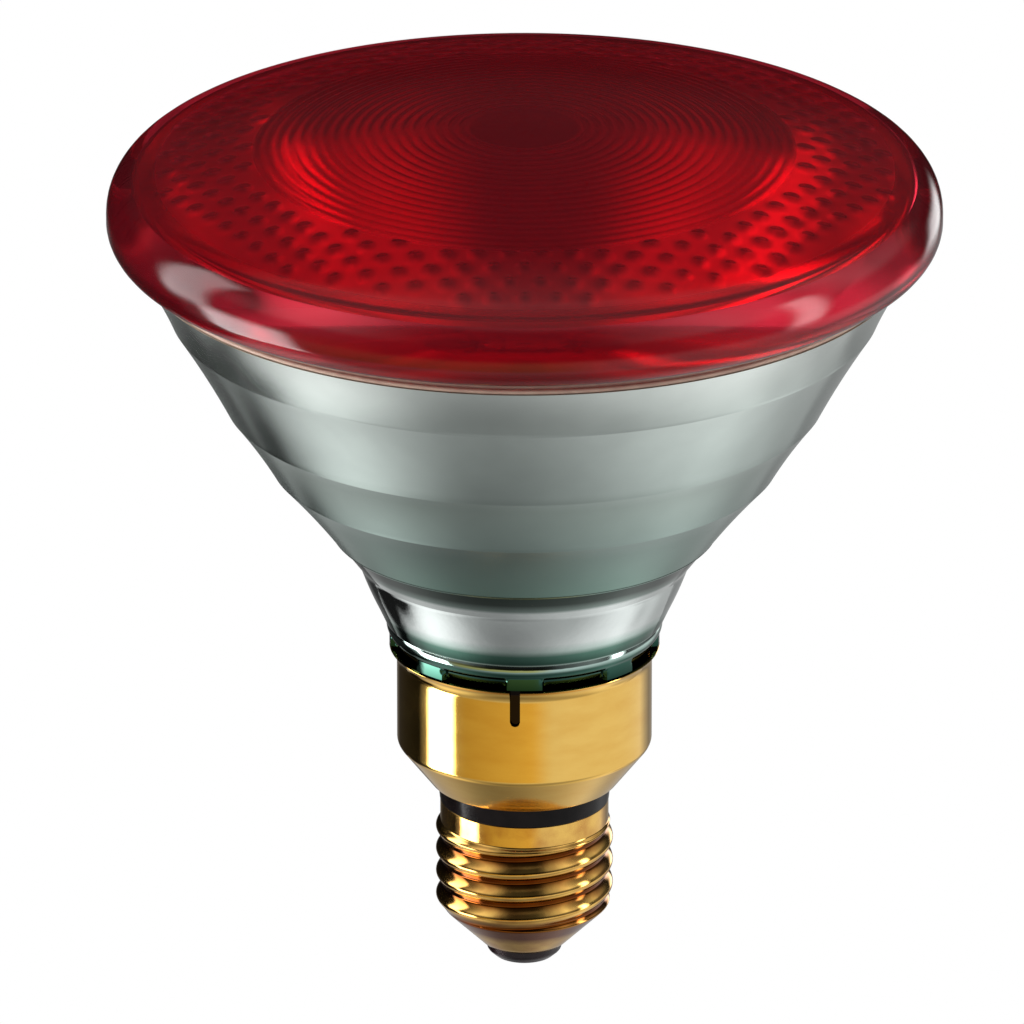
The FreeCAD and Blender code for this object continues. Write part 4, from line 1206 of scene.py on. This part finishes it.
BELT = [(-180, 0.25), (-168, 0.15), (-155, 0.03), (-110, 0.01), (-101, 0.3), (-62, 0.50),
        (-30, 0.62), (-4, 0.72), (12, 0.82), (40, 0.88), (128, 0.9), (140, 0.5), (152, 0.25),
        (165, 0.3), (180, 0.45)]
CANOPY = [(-180, 0.03), (-130, 0.03), (-112, 0.06), (-92, 0.15), (-78, 0.75), (-66, 1.3),
          (-50, 0.9), (-40, 0.38), (-30, 0.1), (-20, 0.05), (15, 0.05), (22, 0.13), (30, 0.4),
          (42, 0.7), (57, 1.2), (72, 0.6), (87, 0.25), (104, 0.9), (115, 0.6), (140, 0.06),
          (180, 0.03)]
CANOPY_LOW = -20.0
CANOPY_SOFT = 7.0
CANOPY_DIM = 0.2
CANOPY_FULL = 6.0
CANOPY_RISE = 14.0
ZENITH_LOW = 46.0
ZENITH_SOFT = 13.0
ZENITH_LEVEL = 0.42
WARM = np.array((1.0, 0.79, 0.32))
WARM_SIDES = (-64.0, 16.0, 24.0)
WARM_HEIGHTS = (-32.0, -4.0, 10.0)
SURROUND_STEP = 2.0
SURROUND_LOW = -40.0

# Windows in the surround: azimuths, elevations, level

WINDOW_SOFT = (7.0, 10.0)
WINDOWS = [
    ((-97.0, -67.0), (-44.0, -12.0), 10.0),
    ((-112.0, -93.0), (-14.0, 38.0), 5.5),
    ((76.0, 86.0), (-16.0, 28.0), 7.0),
    ((140.0, 156.0), (-16.0, 0.0), 3.0),
]


def belt_level(azimuth):
    """Level of the low belt of the surround."""
    return np.interp(azimuth, *zip(*BELT))[..., None]


def make_surround():
    azimuths = np.arange(-180.0, 180.0, SURROUND_STEP)
    elevations = np.arange(SURROUND_LOW, 90.0 + SURROUND_STEP / 2, SURROUND_STEP)
    a, e = np.meshgrid(azimuths, elevations)
    high = smooth((e - CANOPY_LOW) / CANOPY_SOFT)[..., None]
    dim = CANOPY_DIM + (1 - CANOPY_DIM) * smooth((e - CANOPY_FULL) / CANOPY_RISE)
    canopy = (np.interp(a, *zip(*CANOPY)) * dim)[..., None]
    warm = window(a, *WARM_SIDES) * window(e, *WARM_HEIGHTS)
    glow = belt_level(a) * (1 - high) + canopy * high
    glow = glow * (1 + (WARM - 1) * warm[..., None])
    zenith = smooth((e - ZENITH_LOW) / ZENITH_SOFT)[..., None]
    glow = glow * (1 - zenith) + ZENITH_LEVEL * zenith
    for sides, heights, strength in WINDOWS:
        share = window(a, *sides, WINDOW_SOFT[0]) * window(e, *heights, WINDOW_SOFT[1])
        glow += (strength - glow) * share[..., None]
    turn = np.radians(a)
    tilt = np.radians(e)
    places = np.stack((np.sin(turn) * np.cos(tilt), -np.cos(turn) * np.cos(tilt),
                       np.sin(tilt)), axis=2)
    glow_card("surround", places * SURROUND_RADIUS + np.array(STUDIO_CENTRE), glow)


# Pools of light and shade on the floor, which the bowl and the neck show: place, spread and
# change of level

FLOOR_LEVEL = 0.46
POOLS = [
    ((-0.30, 0.06), (0.14, 0.20), 0.88),
    ((0.38, 0.15), (0.24, 0.12), 1.0),
    ((0.05, -0.03), (0.60, 0.13), 0.47),
    ((-0.10, -0.01), (0.27, 0.23), -0.65),
    ((-0.41, 0.40), (0.12, 0.10), -1.25),
    ((-0.46, 0.20), (0.09, 0.09), -1.5),
    ((0.38, 0.16), (0.11, 0.09), -0.85),
]
LEAST_LEVEL = 0.01
FLOOR_ROWS = 60
FLOOR_COLUMNS = 120
FLOOR_MIDDLE = 0.001
BLEND_REACH = 0.4
BLEND_BACK = 0.2
BLEND_SOFT = 0.3


def make_floor_glow():
    reaches = np.linspace(FLOOR_MIDDLE, FLOOR_RADIUS, FLOOR_ROWS)
    reach, turn = np.meshgrid(reaches, even_angles(FLOOR_COLUMNS), indexing="ij")
    x = reach * np.cos(turn)
    y = reach * np.sin(turn)
    level = np.full_like(x, FLOOR_LEVEL)
    for (middle_x, middle_y), (spread_x, spread_y), change in POOLS:
        away = ((x - middle_x) / spread_x) ** 2 + ((y - middle_y) / spread_y) ** 2
        level += change * np.exp(-away)
    level = np.clip(level, LEAST_LEVEL, None)
    far = smooth((reach - BLEND_REACH) / (FLOOR_RADIUS - BLEND_REACH))
    blend = (far * smooth((BLEND_BACK - y) / BLEND_SOFT))[..., None]
    glow = level[..., None] * (1 - blend) + belt_level(np.degrees(np.arctan2(x, -y))) * blend
    glow = np.repeat(glow, 3, axis=2)
    places = np.stack((x, y, np.full_like(x, FLOOR_HEIGHT + FLOOR_GLOW_GAP)), axis=2)
    glow_card("floor_glow", places, glow)


def softbox(name, azimuth, elevation, distance, width, height, power):
    """A rectangular lamp that faces the bulb."""
    data = bpy.data.lights.new(name, "AREA")
    data.shape = "RECTANGLE"
    data.size = width
    data.size_y = height
    data.energy = power
    lamp = bpy.data.objects.new(name, data)
    scene.collection.objects.link(lamp)
    away = direction(azimuth, elevation)
    lamp.location = STUDIO_CENTRE + away * distance
    lamp.rotation_euler = (-away).to_track_quat("-Z", "Y").to_euler()
    lamp.visible_glossy = False
    lamp.visible_transmission = False


make_floor()
make_world()
make_surround()
make_floor_glow()
softbox("left_box", azimuth=-80, elevation=8, distance=0.9, width=0.5, height=0.9, power=6.0)
softbox("right_box", azimuth=70, elevation=30, distance=0.9, width=0.4, height=0.5, power=3.0)
